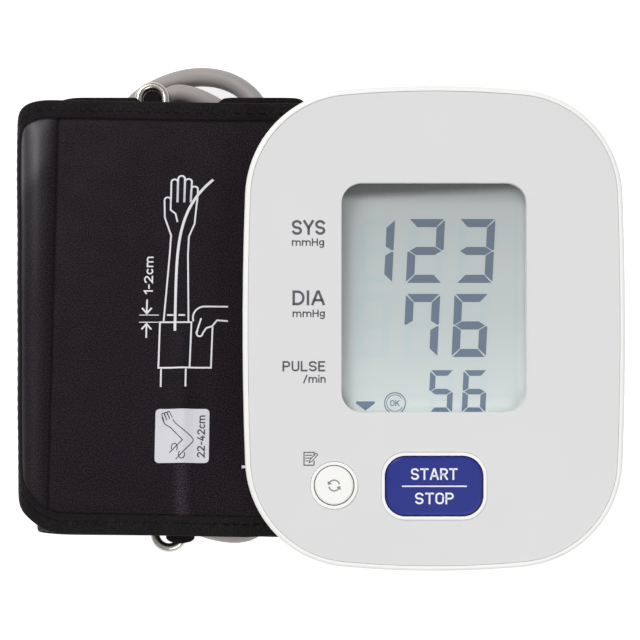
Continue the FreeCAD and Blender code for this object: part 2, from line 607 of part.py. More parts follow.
def wall_at(outer, along, level):
    """Half the width of the case, left or right, at one height and depth."""
    start = Vector(MONITOR_X, MONITOR_Y + along, level)
    line = Part.makeLine(start, start + Vector(size("face_width"), 0, 0))
    return max(vertex.X for vertex in outer.common(line).Vertexes) - MONITOR_X


def make_rear_case():
    outer = case_loft(0, 0, size("foot_height"))
    inner = case_loft(size("wall"), 0.01, size("foot_height") + size("floor_thick"))
    half = value(BAY_HALF)
    front = value(BAY_FRONT)
    back = value(BAY_BACK)
    wall = size("bay_wall")
    base = size("foot_height")
    roof = value(ROOF_TOP)
    ledge = value(COVER_TOP) + size("ledge_gap")
    bay = base_box(-half - wall, half + wall, front - wall, back + wall, ledge, roof)
    hinge_y = value(HINGE_ALONG)
    hinge_z = value(HINGE_LEVEL)
    cover_half = value(COVER_HALF) + size("cover_gap")
    cheek = size("hinge_cheek")
    cheek_half = size("hinge_pin_radius") + size("hinge_cover")
    additions = [bay]
    for side in (-1, 1):
        inner_x, outer_x = sorted((side * cover_half, side * (cover_half + cheek)))
        additions.append(base_box(inner_x, outer_x, hinge_y - cheek_half, hinge_y + cheek_half,
                                  base, hinge_z + cheek_half))
    post_level = -value(POST_END)
    places = [(value(across), value(along)) for across, along in corners(POST_ACROSS, POST_ALONG)]
    reach = FACE_RISE + size("face_length")
    additions += [face_rod(x, y, -reach, post_level, size("boss_radius")) for x, y in places]
    additions = [outer.common(shape) for shape in additions]
    jack_y = size("pump_along")
    jack_depth = value(PUMP_DEPTH)
    shoulder = value(JACK_SHOULDER) + size("jack_flange_thick")
    additions.append(side_rod(-JACK_FACE, -shoulder, size("jack_boss"), jack_y, jack_depth))
    dc_start = Vector(MONITOR_X + value(DC_INNER), MONITOR_Y + size("dc_along"), value(DC_LEVEL))
    additions.append(Part.makeCylinder(size("dc_boss"), size("dc_length"), dc_start, Vector(1, 0, 0)))
    case = outer.cut(inner).fuse(additions).removeSplitter()
    seat = post_level - size("screw_grip")
    clear = size("screw_radius") + size("screw_clear")
    cuts = [base_box(-half, half, front, back, base - 1, value(BAY_ROOF))]
    cuts.append(base_box(-cover_half, cover_half, value(COVER_FRONT) - size("cover_gap"),
                         hinge_y + size("hinge_radius") + size("cover_gap"), base - 1, ledge))
    cuts.append(base_box(-cover_half, cover_half, hinge_y - size("hinge_radius") - size("cover_gap"),
                         hinge_y + size("hinge_radius") + size("cover_gap"), base - 1,
                         hinge_z + size("hinge_radius") + size("cover_gap")))
    for x, y in places:
        cuts.append(face_rod(x, y, seat - 1, 0, clear))
        cuts.append(face_rod(x, y, -reach, seat, size("boss_radius") - size("boss_wall")))
    cuts.append(side_rod(-JACK_FACE - 1, -shoulder + 1, size("jack_radius"), jack_y, jack_depth))
    cuts.append(side_rod(-shoulder, 0, size("jack_flange"), jack_y, jack_depth))
    cuts.append(Part.makeCylinder(size("dc_radius"), size("dc_length"), dc_start, Vector(1, 0, 0)))
    pin_hole = size("hinge_pin_radius") + size("hinge_pin_gap")
    pin_reach = cover_half + size("hinge_pin_length") + size("cover_gap")
    pin_start = Vector(MONITOR_X - pin_reach, MONITOR_Y + hinge_y, hinge_z)
    cuts.append(Part.makeCylinder(pin_hole, 2 * pin_reach, pin_start, Vector(1, 0, 0)))
    for x, y in foot_places():
        cuts.append(Part.makeCylinder(size("foot_radius"), size("foot_seat"), Vector(x, y, base)))
    keep_shape("rear_case", case.cut(cuts), Placement())


COVER_FRONT = f"({BAY_FRONT} - bay_wall - cover_lap)"
DC_LEVEL = f"({ROOF_TOP} + dc_rise)"
OUTER = case_loft(0, 0, size("foot_height"))
DC_FACE = wall_at(OUTER, size("dc_along"), value(DC_LEVEL)) + size("dc_boss_proud")
DC_INNER = f"({DC_FACE} - dc_length)"
JACK_POINT = FACE.multVec(Vector(0, size("pump_along"), -value(PUMP_DEPTH)))
JACK_FACE = wall_at(OUTER, JACK_POINT.y - MONITOR_Y, JACK_POINT.z) + size("jack_boss_proud")


def foot_places():
    """Middles of the four feet, on the aprons in front of and behind the battery bay."""
    half = value(BASE_LENGTH) / 2 - size("foot_apron")
    middle = MONITOR_Y + size("base_shift")
    spread = size("foot_spread")
    return [(MONITOR_X + side * spread, middle + end * half) for side in (-1, 1) for end in (-1, 1)]


def make_feet():
    height = size("foot_height") + size("foot_seat")
    make_group("rubber_feet", Placement(), [
        Part.makeCylinder(size("foot_radius"), height, Vector(x, y, 0)) for x, y in foot_places()])


def make_battery_cover():
    """A plate flush with the base, with a hinge bead along its back edge and a pin at each end."""
    body = new_body("battery_cover", BASE)
    bead_back = f"({HINGE_ALONG} - {COVER_FRONT})"
    block(body, (f"-{COVER_HALF}", COVER_FRONT, "foot_height"),
          (f"2 * {COVER_HALF}", bead_back, "cover_thick"))
    rod(body, (f"-{COVER_HALF}", HINGE_ALONG, HINGE_LEVEL), "hinge_radius", f"2 * {COVER_HALF}", "x")
    pin_half = f"({COVER_HALF} + cover_gap + hinge_pin_length)"
    rod(body, (f"-{pin_half}", HINGE_ALONG, HINGE_LEVEL), "hinge_pin_radius", f"2 * {pin_half}", "x")


def make_batteries():
    """Four round cells side by side, each turned end for end from its neighbour, and leaf contacts."""
    front_leaves = []
    back_leaves = []
    for index in range(BATTERIES):
        across = f"({index} - ({BATTERIES} - 1) / 2) * {BATTERY_PITCH}"
        forward = index % 2 == 0
        front = f"({BAY_FRONT} + contact_space)"
        cell = new_body(f"battery_{index + 1}", BASE)
        can_front = f"({front} + nub_height)" if forward else front
        rod(cell, (across, can_front, BATTERY_MIDDLE), "battery_radius", "battery_length", "y")
        nub_front = front if forward else f"({front} + battery_length)"
        rod(cell, (across, nub_front, BATTERY_MIDDLE), "nub_radius", "nub_height", "y")
        middle = Vector(value(across), 0, value(BATTERY_MIDDLE))
        front_leaves.append(leaf(middle, value(BAY_FRONT), 1))
        back_leaves.append(leaf(middle, value(BAY_BACK), -1))
    make_group("contacts_front", BASE, front_leaves)
    make_group("contacts_back", BASE, back_leaves)


def leaf(middle, wall_y, towards):
    """A bent strip: flat on the bay's wall, then bowed out as a half round that meets the cell."""
    half = size("contact_width") / 2
    thick = size("contact_thick")
    reach = size("contact_space")
    near = min(wall_y, wall_y + towards * thick)
    strip = Part.makeBox(2 * half, thick, 2 * half, Vector(middle.x - half, near, middle.z - half))
    bow_radius = reach / 2
    centre = Vector(middle.x - half, wall_y + towards * reach / 2, middle.z)
    bow = Part.makeCylinder(bow_radius, 2 * half, centre, Vector(1, 0, 0))
    bow = bow.cut(Part.makeCylinder(bow_radius - thick, 2 * half, centre, Vector(1, 0, 0)))
    return strip.fuse(bow).removeSplitter()


# Pump and motor, along X under the board
def shaft_line(body, start, radius, length, cut=False):
    """A cylinder on the pump's axis from a distance right of the monitor's middle."""
    return rod(body, (start, "pump_along", f"-{PUMP_DEPTH}"), radius, length, "x", cut)


def make_pump():
    chamber_start = f"({MOTOR_START} - chamber_depth)"
    head = new_body("pump_head", FACE)
    shaft_line(head, "-pump_start", "pump_radius", "pump_length")
    shaft_line(head, "-pump_start - nipple_length", "nipple_radius", "nipple_length + 1")
    shaft_line(head, chamber_start, "chamber_radius", "chamber_depth", cut=True)
    shaft_line(head, "-pump_start - nipple_length", "nipple_bore",
               f"nipple_length + pump_start + {chamber_start}", cut=True)
    diaphragm = new_body("pump_diaphragm", FACE)
    shaft_line(diaphragm, chamber_start, "chamber_radius", "diaphragm_thick")
    can = new_body("motor_can", FACE)
    shaft_line(can, MOTOR_START, "motor_radius", "motor_length")
    shaft_line(can, f"{MOTOR_START} + can_wall", "motor_radius - can_wall", "motor_length - can_wall",
               cut=True)
    shaft_line(can, MOTOR_START, "shaft_radius + shaft_gap", "can_wall", cut=True)
    cap = new_body("motor_endcap", FACE)
    cap_start = f"({MOTOR_START} + motor_length - endcap_thick)"
    shaft_line(cap, cap_start, "motor_radius - can_wall", "endcap_thick")
    shaft_line(cap, cap_start, "shaft_radius + shaft_gap", "endcap_thick", cut=True)
    magnet = new_body("magnet_ring", FACE)
    magnet_start = f"({MOTOR_START} + can_wall + magnet_inset)"
    shaft_line(magnet, magnet_start, "motor_radius - can_wall", "magnet_length")
    shaft_line(magnet, magnet_start, "motor_radius - can_wall - magnet_thick", "magnet_length", cut=True)
    rotor = new_body("motor_rotor", FACE)
    crank_start = f"({MOTOR_START} - crank_clear - crank_thick)"
    shaft_end = f"{MOTOR_START} + motor_length - shaft_short"
    shaft_line(rotor, crank_start, "shaft_radius", f"{shaft_end} - {crank_start}")
    core_start = f"({magnet_start} + (magnet_length - core_length) / 2)"
    shaft_line(rotor, core_start, "motor_radius - can_wall - magnet_thick - rotor_gap", "core_length")
    shaft_line(rotor, f"{core_start} + core_length", "commutator_radius", "commutator_length")
    shaft_line(rotor, crank_start, "crank_radius", "crank_thick")
    rod(rotor, (f"{crank_start} - crank_pin", "pump_along + crank_throw", f"-{PUMP_DEPTH}"),
        "crank_pin", "crank_pin + 1", "x")


def make_pump_cradle():
    """A rubber saddle on the bay's roof that the motor lies in."""
    axis = FACE.multVec(Vector(0, size("pump_along"), -value(PUMP_DEPTH)))
    roof = value(ROOF_TOP)
    length = size("pad_length")
    start = MONITOR_X + value(MOTOR_START) + (size("motor_length") - length) / 2
    height = axis.z - size("pump_radius") + size("pad_grip") - roof
    width = size("pad_width")
    saddle = Part.makeBox(length, width, height, Vector(start, axis.y - width / 2, roof))
    motor = Part.makeCylinder(size("motor_radius"), length, Vector(start, axis.y, axis.z), Vector(1, 0, 0))
    keep_shape("pump_cradle", saddle.cut(motor), Placement())


# Air path: manifold, tubes, sensor, valve and jacks
def sleeve(label, start, length, bore, wall):
    body = new_body(label, FACE)
    shaft_line(body, start, f"{bore} + {wall}", length)
    shaft_line(body, start, bore, length, cut=True)


def make_air_path():
    manifold = new_body("air_manifold", FACE)
    half = "manifold_size / 2"
    block(manifold, (f"-{MANIFOLD_LEFT}", f"pump_along - {half}", f"-{PUMP_DEPTH} - {half}"),
          ("manifold_size", "manifold_size", "manifold_size"))
    through = "manifold_size + 2 * nipple_length"
    shaft_line(manifold, f"-{MANIFOLD_LEFT} - nipple_length", "nipple_radius", through)
    shaft_line(manifold, f"-{MANIFOLD_LEFT} - nipple_length", "nipple_bore", through, cut=True)
    top = f"(-{PUMP_DEPTH} + manifold_size / 2)"
    rod(manifold, (f"-{MANIFOLD_MIDDLE}", "pump_along", top), "sensor_nipple", "sensor_nipple_length")
    tube = "2 * nipple_length + tube_slack"
    sleeve("pump_tube", f"-{MANIFOLD_RIGHT}", tube, "nipple_radius", "tube_wall")
    sleeve("jack_tube", f"-{JACK_SHOULDER}", tube, "nipple_radius", "tube_wall")
    sensor = new_body("pressure_sensor", FACE)
    under = f"(-{BOARD_UNDER} - sensor_height)"
    centred(sensor, f"-{MANIFOLD_MIDDLE}", "pump_along", under, "sensor_size", "sensor_size",
            "sensor_height")
    rod(sensor, (f"-{MANIFOLD_MIDDLE}", "pump_along", f"{under} - sensor_nipple_length"), "sensor_nipple",
        "sensor_nipple_length")
    sensor_tube = new_body("sensor_tube", FACE)
    gap = f"({under} - {top})"
    rod(sensor_tube, (f"-{MANIFOLD_MIDDLE}", "pump_along", top), "sensor_nipple + sensor_tube_wall", gap)
    rod(sensor_tube, (f"-{MANIFOLD_MIDDLE}", "pump_along", top), "sensor_nipple", gap, cut=True)


def make_valve():
    """A release valve on the manifold: steel yoke, winding, and a core that slides to shut the port."""
    port = "(pump_along - manifold_size / 2)"
    yoke = new_body("valve_frame", FACE)
    low = f"-{PUMP_DEPTH} - valve_height / 2"
    middle = f"({port} - valve_length / 2)"
    centred(yoke, f"-{MANIFOLD_MIDDLE}", middle, low, "valve_width", "valve_length", "valve_height")
    centred(yoke, f"-{MANIFOLD_MIDDLE}", middle, low, "(valve_width - 2 * valve_sheet)",
            "(valve_length - 2 * valve_sheet)", "valve_height", cut=True)
    on_axis = f"-{PUMP_DEPTH}"
    bore = "plug_core_radius + plug_core_gap"
    rod(yoke, (f"-{MANIFOLD_MIDDLE}", f"{port} - valve_sheet", on_axis), bore, "valve_sheet", "y", cut=True)
    winding = new_body("valve_coil", FACE)
    inner_length = "valve_length - 2 * valve_sheet"
    start = f"{port} - valve_length + valve_sheet"
    rod(winding, (f"-{MANIFOLD_MIDDLE}", start, on_axis), "min(coil_radius; valve_width / 2 - valve_sheet)",
        inner_length, "y")
    rod(winding, (f"-{MANIFOLD_MIDDLE}", start, on_axis), bore, inner_length, "y", cut=True)
    core = new_body("valve_plunger", FACE)
    core_start = f"{port} - valve_seat_gap - valve_travel - plug_core_length"
    rod(core, (f"-{MANIFOLD_MIDDLE}", core_start, on_axis), "plug_core_radius", "plug_core_length", "y")


def make_jacks():
    jack = new_body("air_jack", FACE)
    shaft_line(jack, f"-{JACK_FACE}", "jack_radius", f"{JACK_FACE} - {JACK_SHOULDER}")
    shaft_line(jack, f"-{JACK_SHOULDER} - jack_flange_thick", "jack_flange", "jack_flange_thick")
    shaft_line(jack, f"-{JACK_SHOULDER}", "nipple_radius", "nipple_length")
    shaft_line(jack, f"-{JACK_FACE}", "jack_bore", "jack_bore_depth", cut=True)
    shaft_line(jack, f"-{JACK_FACE}", "nipple_bore", f"{JACK_FACE} - {JACK_SHOULDER} + nipple_length",
               cut=True)
    power = new_body("dc_jack", BASE)
    place = (DC_INNER, "dc_along", DC_LEVEL)
    rod(power, place, "dc_radius", "dc_length", "x")
    bore_start = (f"{DC_FACE} - dc_bore_depth", "dc_along", DC_LEVEL)
    rod(power, bore_start, "dc_bore", "dc_bore_depth", "x", cut=True)
    rod(power, place, "dc_pin", "dc_length - 1", "x")


# Rolled cuff: a flat spiral of one band, its outer end a flap on top at the left
HALF_BAND = BAND_THICK / 2
HALF_ROLL = size("roll_width") / 2
TOP_LEVEL = ROLL_HEIGHT - HALF_BAND
CORE_FLOOR = 2 * HALF_BAND + (FOLDS - 1) * LAYER_PITCH
RIGHT_X = HALF_ROLL - ROLL_HEIGHT / 2
LEFT_X = -HALF_ROLL + size("flap_overhang") + (ROLL_HEIGHT - LAYER_PITCH) / 2
RING_LEVEL = CORE_FLOOR + size("ring_rise")
TAB_RADIUS = size("ring_wire") + size("tab_gap") + size("tab_thick")
BAND_END = size("ring_middle") - size("ring_span") / 2 - size("tab_bridge")
RING = CUFF.multiply(Placement(Vector(size("ring_middle"), 0, RING_LEVEL),
                               Rotation(Vector(0, 0, 1), size("ring_skew"))))


def spiral_line(offset, start, stop, near):
    """Edges of the band's line moved outwards by an offset: a straight run over the top, a half round at
    the right, a run back along the bottom, a half round at the left, and so on inwards.  Near is its Y."""
    edges = []
    point = Vector(start, near, TOP_LEVEL + offset)
    for turn in range(FOLDS):
        top = TOP_LEVEL - turn * LAYER_PITCH + offset
        bottom = HALF_BAND + turn * LAYER_PITCH - offset
        next_top = TOP_LEVEL - (turn + 1) * LAYER_PITCH + offset
        right_top = Vector(RIGHT_X, near, top)
        right_bottom = Vector(RIGHT_X, near, bottom)
        right_tip = Vector(RIGHT_X + (top - bottom) / 2, near, (top + bottom) / 2)
        left_bottom = Vector(LEFT_X, near, bottom)
        left_top = Vector(LEFT_X, near, next_top)
        left_tip = Vector(LEFT_X - (next_top - bottom) / 2, near, (next_top + bottom) / 2)
        edges.append(Part.makeLine(point, right_top))
        edges.append(Part.Arc(right_top, right_tip, right_bottom).toShape())
        edges.append(Part.makeLine(right_bottom, left_bottom))
        edges.append(Part.Arc(left_bottom, left_tip, left_top).toShape())
        point = left_top
    edges.append(Part.makeLine(point, Vector(stop, near, point.z)))
    return edges


def spiral_band(low, high, start, stop, width):
    """The solid between two offsets of the band's line, across a width about the cuff's middle."""
    outside = spiral_line(high, start, stop, -width / 2)
    inside = spiral_line(low, start, stop, -width / 2)
    last = [outside[-1].Vertexes[-1].Point, inside[-1].Vertexes[-1].Point]
    first = [inside[0].Vertexes[0].Point, outside[0].Vertexes[0].Point]
    closing = [Part.makeLine(*last), Part.makeLine(*first)]
    wire = Part.Wire(Part.__sortEdges__(outside + inside + closing))
    return Part.Face(wire).extrude(Vector(0, width, 0))


def flap_corners(inset):
    """What the flap loses at the two rounded corners of its outer end, for an inset outline."""
    radius = size("flap_corner") - inset
    left = -HALF_ROLL + inset
    half = size("cuff_width") / 2 - inset
    low = TOP_LEVEL - HALF_BAND - 0.1
    height = BAND_THICK + 0.2
    shapes = []
    for side in (-1, 1):
        middle = Vector(left + radius, side * (half - radius), low)
        square = Part.makeBox(radius, radius, height, Vector(left, min(side * half, middle.y), low))
        shapes.append(square.cut(Part.makeCylinder(radius, height, middle)))
    return shapes


def make_cuff_cloth():
    """Outer and inner cloth, flat bladder between them, a binding round the edges and a hook patch."""
    width = size("cuff_width")
    binding = size("binding_width")
    inner_width = width - 2 * binding
    start = -HALF_ROLL
    half_bladder = size("bladder_thick") / 2
    bladder = spiral_band(-half_bladder, half_bladder, start + size("flap_bare"),
                          BAND_END - size("core_bare"), inner_width - 2 * size("cloth_thick"))
    hook_low = TOP_LEVEL - HALF_BAND
    hook = Part.makeBox(size("hook_length"), size("hook_width"), size("hook_thick"),
                        Vector(start + size("hook_inset"), -size("hook_width") / 2, hook_low))
    outer = spiral_band(0, HALF_BAND, start + binding, BAND_END, inner_width)
    inner = spiral_band(-HALF_BAND, 0, start + binding, BAND_END, inner_width)
    full = spiral_band(-HALF_BAND, HALF_BAND, start, BAND_END, width).cut(flap_corners(0))
    field = spiral_band(-HALF_BAND, HALF_BAND, start + binding, BAND_END + 1, inner_width)
    field = field.cut(flap_corners(binding))
    keep_shape("cuff_outer_cloth", outer.cut(flap_corners(binding) + [bladder]), CUFF)
    keep_shape("cuff_inner_cloth", inner.cut(flap_corners(binding) + [bladder, hook]), CUFF)
    keep_shape("air_bladder", bladder, CUFF)
    keep_shape("edge_binding", full.cut(field), CUFF)
    keep_shape("hook_patch", hook, CUFF)


def make_ring():
    """A long wire ring with round ends, set a little askew, and the cloth tab that its left bar turns in.
    The tab reaches to the band's straight end and is trimmed along it."""
    ring = new_body("d_ring", RING)
    half = "(ring_length / 2 - ring_wire - ring_span / 2)"
    for side in ("-", ""):
        rod(ring, (f"{side}ring_span / 2", f"-{half}", "0"), "ring_wire", f"2 * {half}", "y")
    for end, turn in (("", 0), ("-", 180)):
        bend = ring.newObject("PartDesign::AdditiveTorus", "Bend")
        bend.Placement = Placement(Vector(), Rotation(Vector(0, 0, 1), turn))
        bend.Angle3 = 180
        bind(bend, "Radius1", "ring_span / 2")
        bind(bend, "Radius2", "ring_wire")
        put(bend, ("0", f"{end}{half}", "0"))
    tab = new_body("ring_tab", RING)
    place = ("-ring_span / 2", "-tab_length / 2", "0")
    rod(tab, place, str(TAB_RADIUS), "tab_length", "y")
    slant = size("tab_length") / 2 * math.tan(RING_SKEW)
    bridge = f"(tab_bridge + {slant})"
    level = str(TAB_RADIUS - size("tab_thick"))
    start = f"-ring_span / 2 - {bridge}"
    block(tab, (start, "-tab_length / 2", level), (bridge, "tab_length", "tab_thick"))
    trim = tab.newObject("PartDesign::SubtractiveBox", "Trim")
    trim.Placement = Placement(Vector(), Rotation(Vector(0, 0, 1), -size("ring_skew")))
    for prop, formula in zip(("Length", "Width", "Height"), (bridge, "2 * tab_length", "tab_thick")):
        bind(trim, prop, formula)
    corner = Vector(BAND_END - size("ring_middle") - value(bridge), -size("tab_length"), float(level))
    corner = Rotation(Vector(0, 0, 1), -size("ring_skew")).multVec(corner)
    put(trim, [str(part) for part in corner])
    rod(tab, place, "ring_wire + tab_gap", "tab_length", "y", cut=True)


# Air hose: a flat coil of one tube in the roll's core
HOSE_LEVEL = CORE_FLOOR + size("hose_lift") + size("hose_radius")
HOSE_STEP = 2 * size("hose_radius") + size("coil_gap")
INNER_LEFT = size("coil_inner_right") - 2 * size("coil_inner_bow")
OUTER_LEFT = INNER_LEFT - HOSE_STEP


def hose_route():
    """Straight legs along Y and half-round bows between them: left edge up, over the top, down the right,
    round the bottom, up the inner left, over the inner top and down the inner right."""
    outer_bow = (size("coil_right") - OUTER_LEFT) / 2
    lower_bow = (size("coil_right") - INNER_LEFT) / 2
    top = size("coil_top") - outer_bow
    bottom = lower_bow - size("coil_bottom")
    legs = [
        (OUTER_LEFT, size("hose_start"), top), (size("coil_right"), top, bottom),
        (INNER_LEFT, bottom, top), (size("coil_inner_right"), top, size("hose_end")),
    ]
    edges = []
    length = 0
    for index, (x, first, last) in enumerate(legs):
        edges.append(Part.makeLine(Vector(x, first, HOSE_LEVEL), Vector(x, last, HOSE_LEVEL)))
        length += abs(last - first)
        if index + 1 < len(legs):
            radius = abs(legs[index + 1][0] - x) / 2
            side = 1 if last > first else -1
            tip = Vector((legs[index + 1][0] + x) / 2, last + side * radius, HOSE_LEVEL)
            after = Vector(legs[index + 1][0], last, HOSE_LEVEL)
            edges.append(Part.Arc(Vector(x, last, HOSE_LEVEL), tip, after).toShape())
            length += math.pi * radius
            print(f"hose bow radius {radius:.2f} mm")
    return edges, length


def swept(edges, radius):
    """A round tube along a path, as one solid."""
    first = edges[0].Vertexes[0].Point
    ring = Part.Wire(Part.Circle(first, Vector(0, 1, 0), radius).toShape())
    return Part.Wire(edges).makePipeShell([ring], True, False)


def least_gap(edges, diameter):
    """Least distance between stretches of the hose that lie further apart along it than three diameters."""
    spacing = 2.0
    points = []
    travel = 0
    for edge in edges:
        count = max(2, int(edge.Length / spacing))
        marks = edge.discretize(count)
        points += [(travel + edge.Length * mark / (count - 1), place) for mark, place in enumerate(marks)]
        travel += edge.Length
    gaps = [a[1].distanceToPoint(b[1]) for i, a in enumerate(points) for b in points[i:]
            if b[0] - a[0] > 3 * diameter]
    return min(gaps) - diameter


def make_hose():
    edges, length = hose_route()
    radius = size("hose_radius")
    bore = size("hose_bore")
    hose = swept(edges, radius).cut(swept(edges, bore))
    section = math.pi * (radius ** 2 - bore ** 2)
    print(f"hose length {length:.1f} mm, volume {hose.Volume:.1f} cubic mm")
    print(f"hose section times length {section * length:.1f} cubic mm")
    print(f"hose least gap to itself {least_gap(edges, 2 * radius):.2f} mm")
    keep_shape("air_hose", hose, CUFF)
    fitting = new_body("hose_fitting", CUFF)
    across = str(OUTER_LEFT)
    centred(fitting, across, "(hose_start - fitting_length / 2)", str(CORE_FLOOR), "fitting_width",
            "fitting_length", f"{HOSE_LEVEL - CORE_FLOOR} + fitting_top")
    rod(fitting, (across, "hose_start - 1", str(HOSE_LEVEL)), "fitting_nipple",
        "fitting_nipple_length + 1", "y")
    plug = new_body("air_plug", CUFF)
    across = "coil_inner_right"
    centred(plug, across, "(hose_end - plug_length / 2)", f"{HOSE_LEVEL} - plug_height / 2", "plug_width",
            "plug_length", "plug_height")
    rod(plug, (across, "hose_end - plug_length - nozzle_length", str(HOSE_LEVEL)), "nozzle_radius",
        "nozzle_length + 1", "y")
    rod(plug, (across, "hose_end - 1", str(HOSE_LEVEL)), "fitting_nipple", "fitting_nipple_length + 1", "y")
    rod(plug, (across, "hose_end - plug_length - nozzle_length", str(HOSE_LEVEL)), "nozzle_bore",
        "plug_length + nozzle_length - 2", "y", cut=True)


def main():
    make_front_cover()
    make_face_panel()
    make_button("start_button", START, "start_width", "start_length", "start_corner")
    make_round_button("sync_button", SYNC, "sync_radius")
    make_switch("start", START)
    make_switch("sync", SYNC)
    make_display()
    make_board()
    make_screws()
    make_rear_case()
    make_feet()
    make_battery_cover()
    make_batteries()
    make_pump()
    make_pump_cradle()
    make_air_path()
    make_valve()
    make_jacks()
    make_cuff_cloth()
    make_ring()
    make_hose()
    doc.recompute()
    failed = [item.Name for item in doc.Objects if {"Invalid", "Error"} & set(item.State)]
    broken = [part.Label for part in subparts if part.Shape.isNull() or not part.Shape.isValid()]
    if failed or broken:
        raise RuntimeError(f"failed features {failed}, broken sub-parts {broken}")
    os.makedirs("parts", exist_ok=True)
    for part in subparts:
        part.Shape.exportStep(f"parts/{part.Label}.step")
        print(f"{part.Label}: {len(part.Shape.Solids)} solid, {part.Shape.Volume:.1f} cubic mm")


main()
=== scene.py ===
import math
import bpy
import numpy as np
from bpy.props import FloatProperty, FloatVectorProperty, PointerProperty
from mathutils import Matrix, Vector


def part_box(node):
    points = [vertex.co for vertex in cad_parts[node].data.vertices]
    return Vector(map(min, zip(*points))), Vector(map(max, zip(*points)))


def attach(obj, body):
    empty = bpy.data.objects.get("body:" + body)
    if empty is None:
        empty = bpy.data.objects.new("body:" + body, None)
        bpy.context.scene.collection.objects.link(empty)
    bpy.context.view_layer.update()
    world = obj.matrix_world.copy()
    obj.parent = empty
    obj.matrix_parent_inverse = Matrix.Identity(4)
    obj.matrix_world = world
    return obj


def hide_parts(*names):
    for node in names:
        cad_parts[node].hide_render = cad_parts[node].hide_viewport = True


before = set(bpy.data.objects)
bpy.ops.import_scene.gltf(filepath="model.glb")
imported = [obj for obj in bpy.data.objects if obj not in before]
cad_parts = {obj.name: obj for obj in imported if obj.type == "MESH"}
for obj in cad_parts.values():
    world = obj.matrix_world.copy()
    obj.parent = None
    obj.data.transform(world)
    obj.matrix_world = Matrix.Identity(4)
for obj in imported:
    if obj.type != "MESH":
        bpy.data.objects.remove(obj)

bl_info = {
    "name": "Blood Pressure Monitor Dressing",
    "version": (1, 0, 0),
    "blender": (4, 5, 0),
    "location": "View3D > Sidebar > Monitor",
    "description": "Dresses the packed monitor: rolled cuff, air hose, prints, display and stage",
    "category": "Object",
}

# Every size below is in millimetres, and a mesh is written in metres
MM = 0.001
SHORTEST = 1e-9

# Frame of the tilted face: across, up the face and out of it, from the middle of the rim's top
FACE_TILT = math.radians(12)
FACE_AXES = np.array([
    [1, 0, 0],
    [0, math.cos(FACE_TILT), math.sin(FACE_TILT)],
    [0, -math.sin(FACE_TILT), math.cos(FACE_TILT)],
])
WINDOW_RISE = 8.6
LENS_DEPTH = 3.65
LCD_DEPTH = 4.6


def middle_of(node):
    """The middle of a node's box, in millimetres."""
    low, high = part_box(node)
    return np.array((low + high) / 2) / MM


FACE_ORIGIN = middle_of("display_lens") - [0, WINDOW_RISE, -LENS_DEPTH] @ FACE_AXES
CUFF_ORIGIN = middle_of("edge_binding") * [1, 1, 0]


def colour_setting(name, description, default):
    """A colour that a user may change."""
    return FloatVectorProperty(
        name=name, description=description, subtype="COLOR", default=default, min=0, max=1)


class CuffSizes(bpy.types.PropertyGroup):
    """Sizes and colours of the rolled cuff."""
    tape_width: FloatProperty(
        name="Tape width", description="Width of the binding tape on each side of the band, in millimetres",
        default=5.8, min=2.0, max=8.0)
    stitch_pitch: FloatProperty(
        name="Stitch pitch", description="Distance from one stitch to the next, in millimetres",
        default=2.9, min=1.5, max=6.0)
    wrinkle: FloatProperty(
        name="Wrinkle height", description="Height of the soft waves in the cloth, in millimetres",
        default=0.1, min=0.0, max=0.15)
    nylon: colour_setting("Nylon", "Colour of the coated outer cloth", (0.0068, 0.0051, 0.0067))
    tape: colour_setting("Tape", "Colour of the binding tape", (0.0125, 0.0104, 0.0109))
    lining: colour_setting("Lining", "Colour of the brushed inner cloth", (0.016, 0.015, 0.017))


class MonitorColours(bpy.types.PropertyGroup):
    """Colours of the monitor's shell, panel, keys and display."""
    shell: colour_setting("Shell", "Colour of the white casing", (0.885, 0.88, 0.86))
    panel: colour_setting("Panel", "Colour of the face panel", (0.70, 0.70, 0.70))
    key: colour_setting("Start key", "Colour of the start key", (0.014, 0.024, 0.225))
    lettering: colour_setting("Lettering", "Colour of the words on the panel", (0.09, 0.09, 0.11))
    display: colour_setting("Display", "Colour of the display's ground", (0.505, 0.555, 0.555))
    segment: colour_setting("Segments", "Colour of the dark segments", (0.075, 0.122, 0.200))


class HoseSizes(bpy.types.PropertyGroup):
    """Size and colour of the air hose."""
    radius: FloatProperty(
        name="Hose radius", description="Outer radius of the air hose",
        default=0.003, min=0.002, max=0.004, unit="LENGTH")
    colour: colour_setting("Hose", "Colour of the hose", (0.385, 0.35, 0.335))


class StageSettings(bpy.types.PropertyGroup):
    """Light and camera of the studio."""
    key_power: FloatProperty(
        name="Key power", description="Power of the soft light at the upper left",
        default=28.0, min=0, unit="POWER")
    world_strength: FloatProperty(
        name="World strength", description="Strength of the even light from all round",
        default=0.42, min=0)
    eye_distance: FloatProperty(
        name="Eye distance", description="Distance of the camera from the face",
        default=0.45, min=0.1, unit="LENGTH")


# Mesh making
def grid_faces(rows, columns, wrap=False):
    """Quads of a grid of points in row order; wrap joins the last column to the first."""
    steps = columns if wrap else columns - 1
    row, column = np.meshgrid(np.arange(rows - 1), np.arange(steps), indexing="ij")
    following = (column + 1) % columns
    first = row * columns
    corners = [first + column, first + following, first + columns + following, first + columns + column]
    return np.stack(corners, axis=-1).reshape(-1, 4)


def slab(top, bottom):
    """A closed solid between two grids of points: both grids as faces, and quads along the four sides."""
    rows, columns = top.shape[:2]
    count = rows * columns
    upper = grid_faces(rows, columns)
    lower = upper[:, ::-1] + count
    index = np.arange(count).reshape(rows, columns)
    rim = np.concatenate([index[0, :-1], index[:-1, -1], index[-1, :0:-1], index[:0:-1, 0]])
    after = np.roll(rim, -1)
    sides = np.stack([rim, rim + count, after + count, after], axis=-1)
    points = np.concatenate([top.reshape(-1, 3), bottom.reshape(-1, 3)])
    return points, np.concatenate([upper, lower, sides])


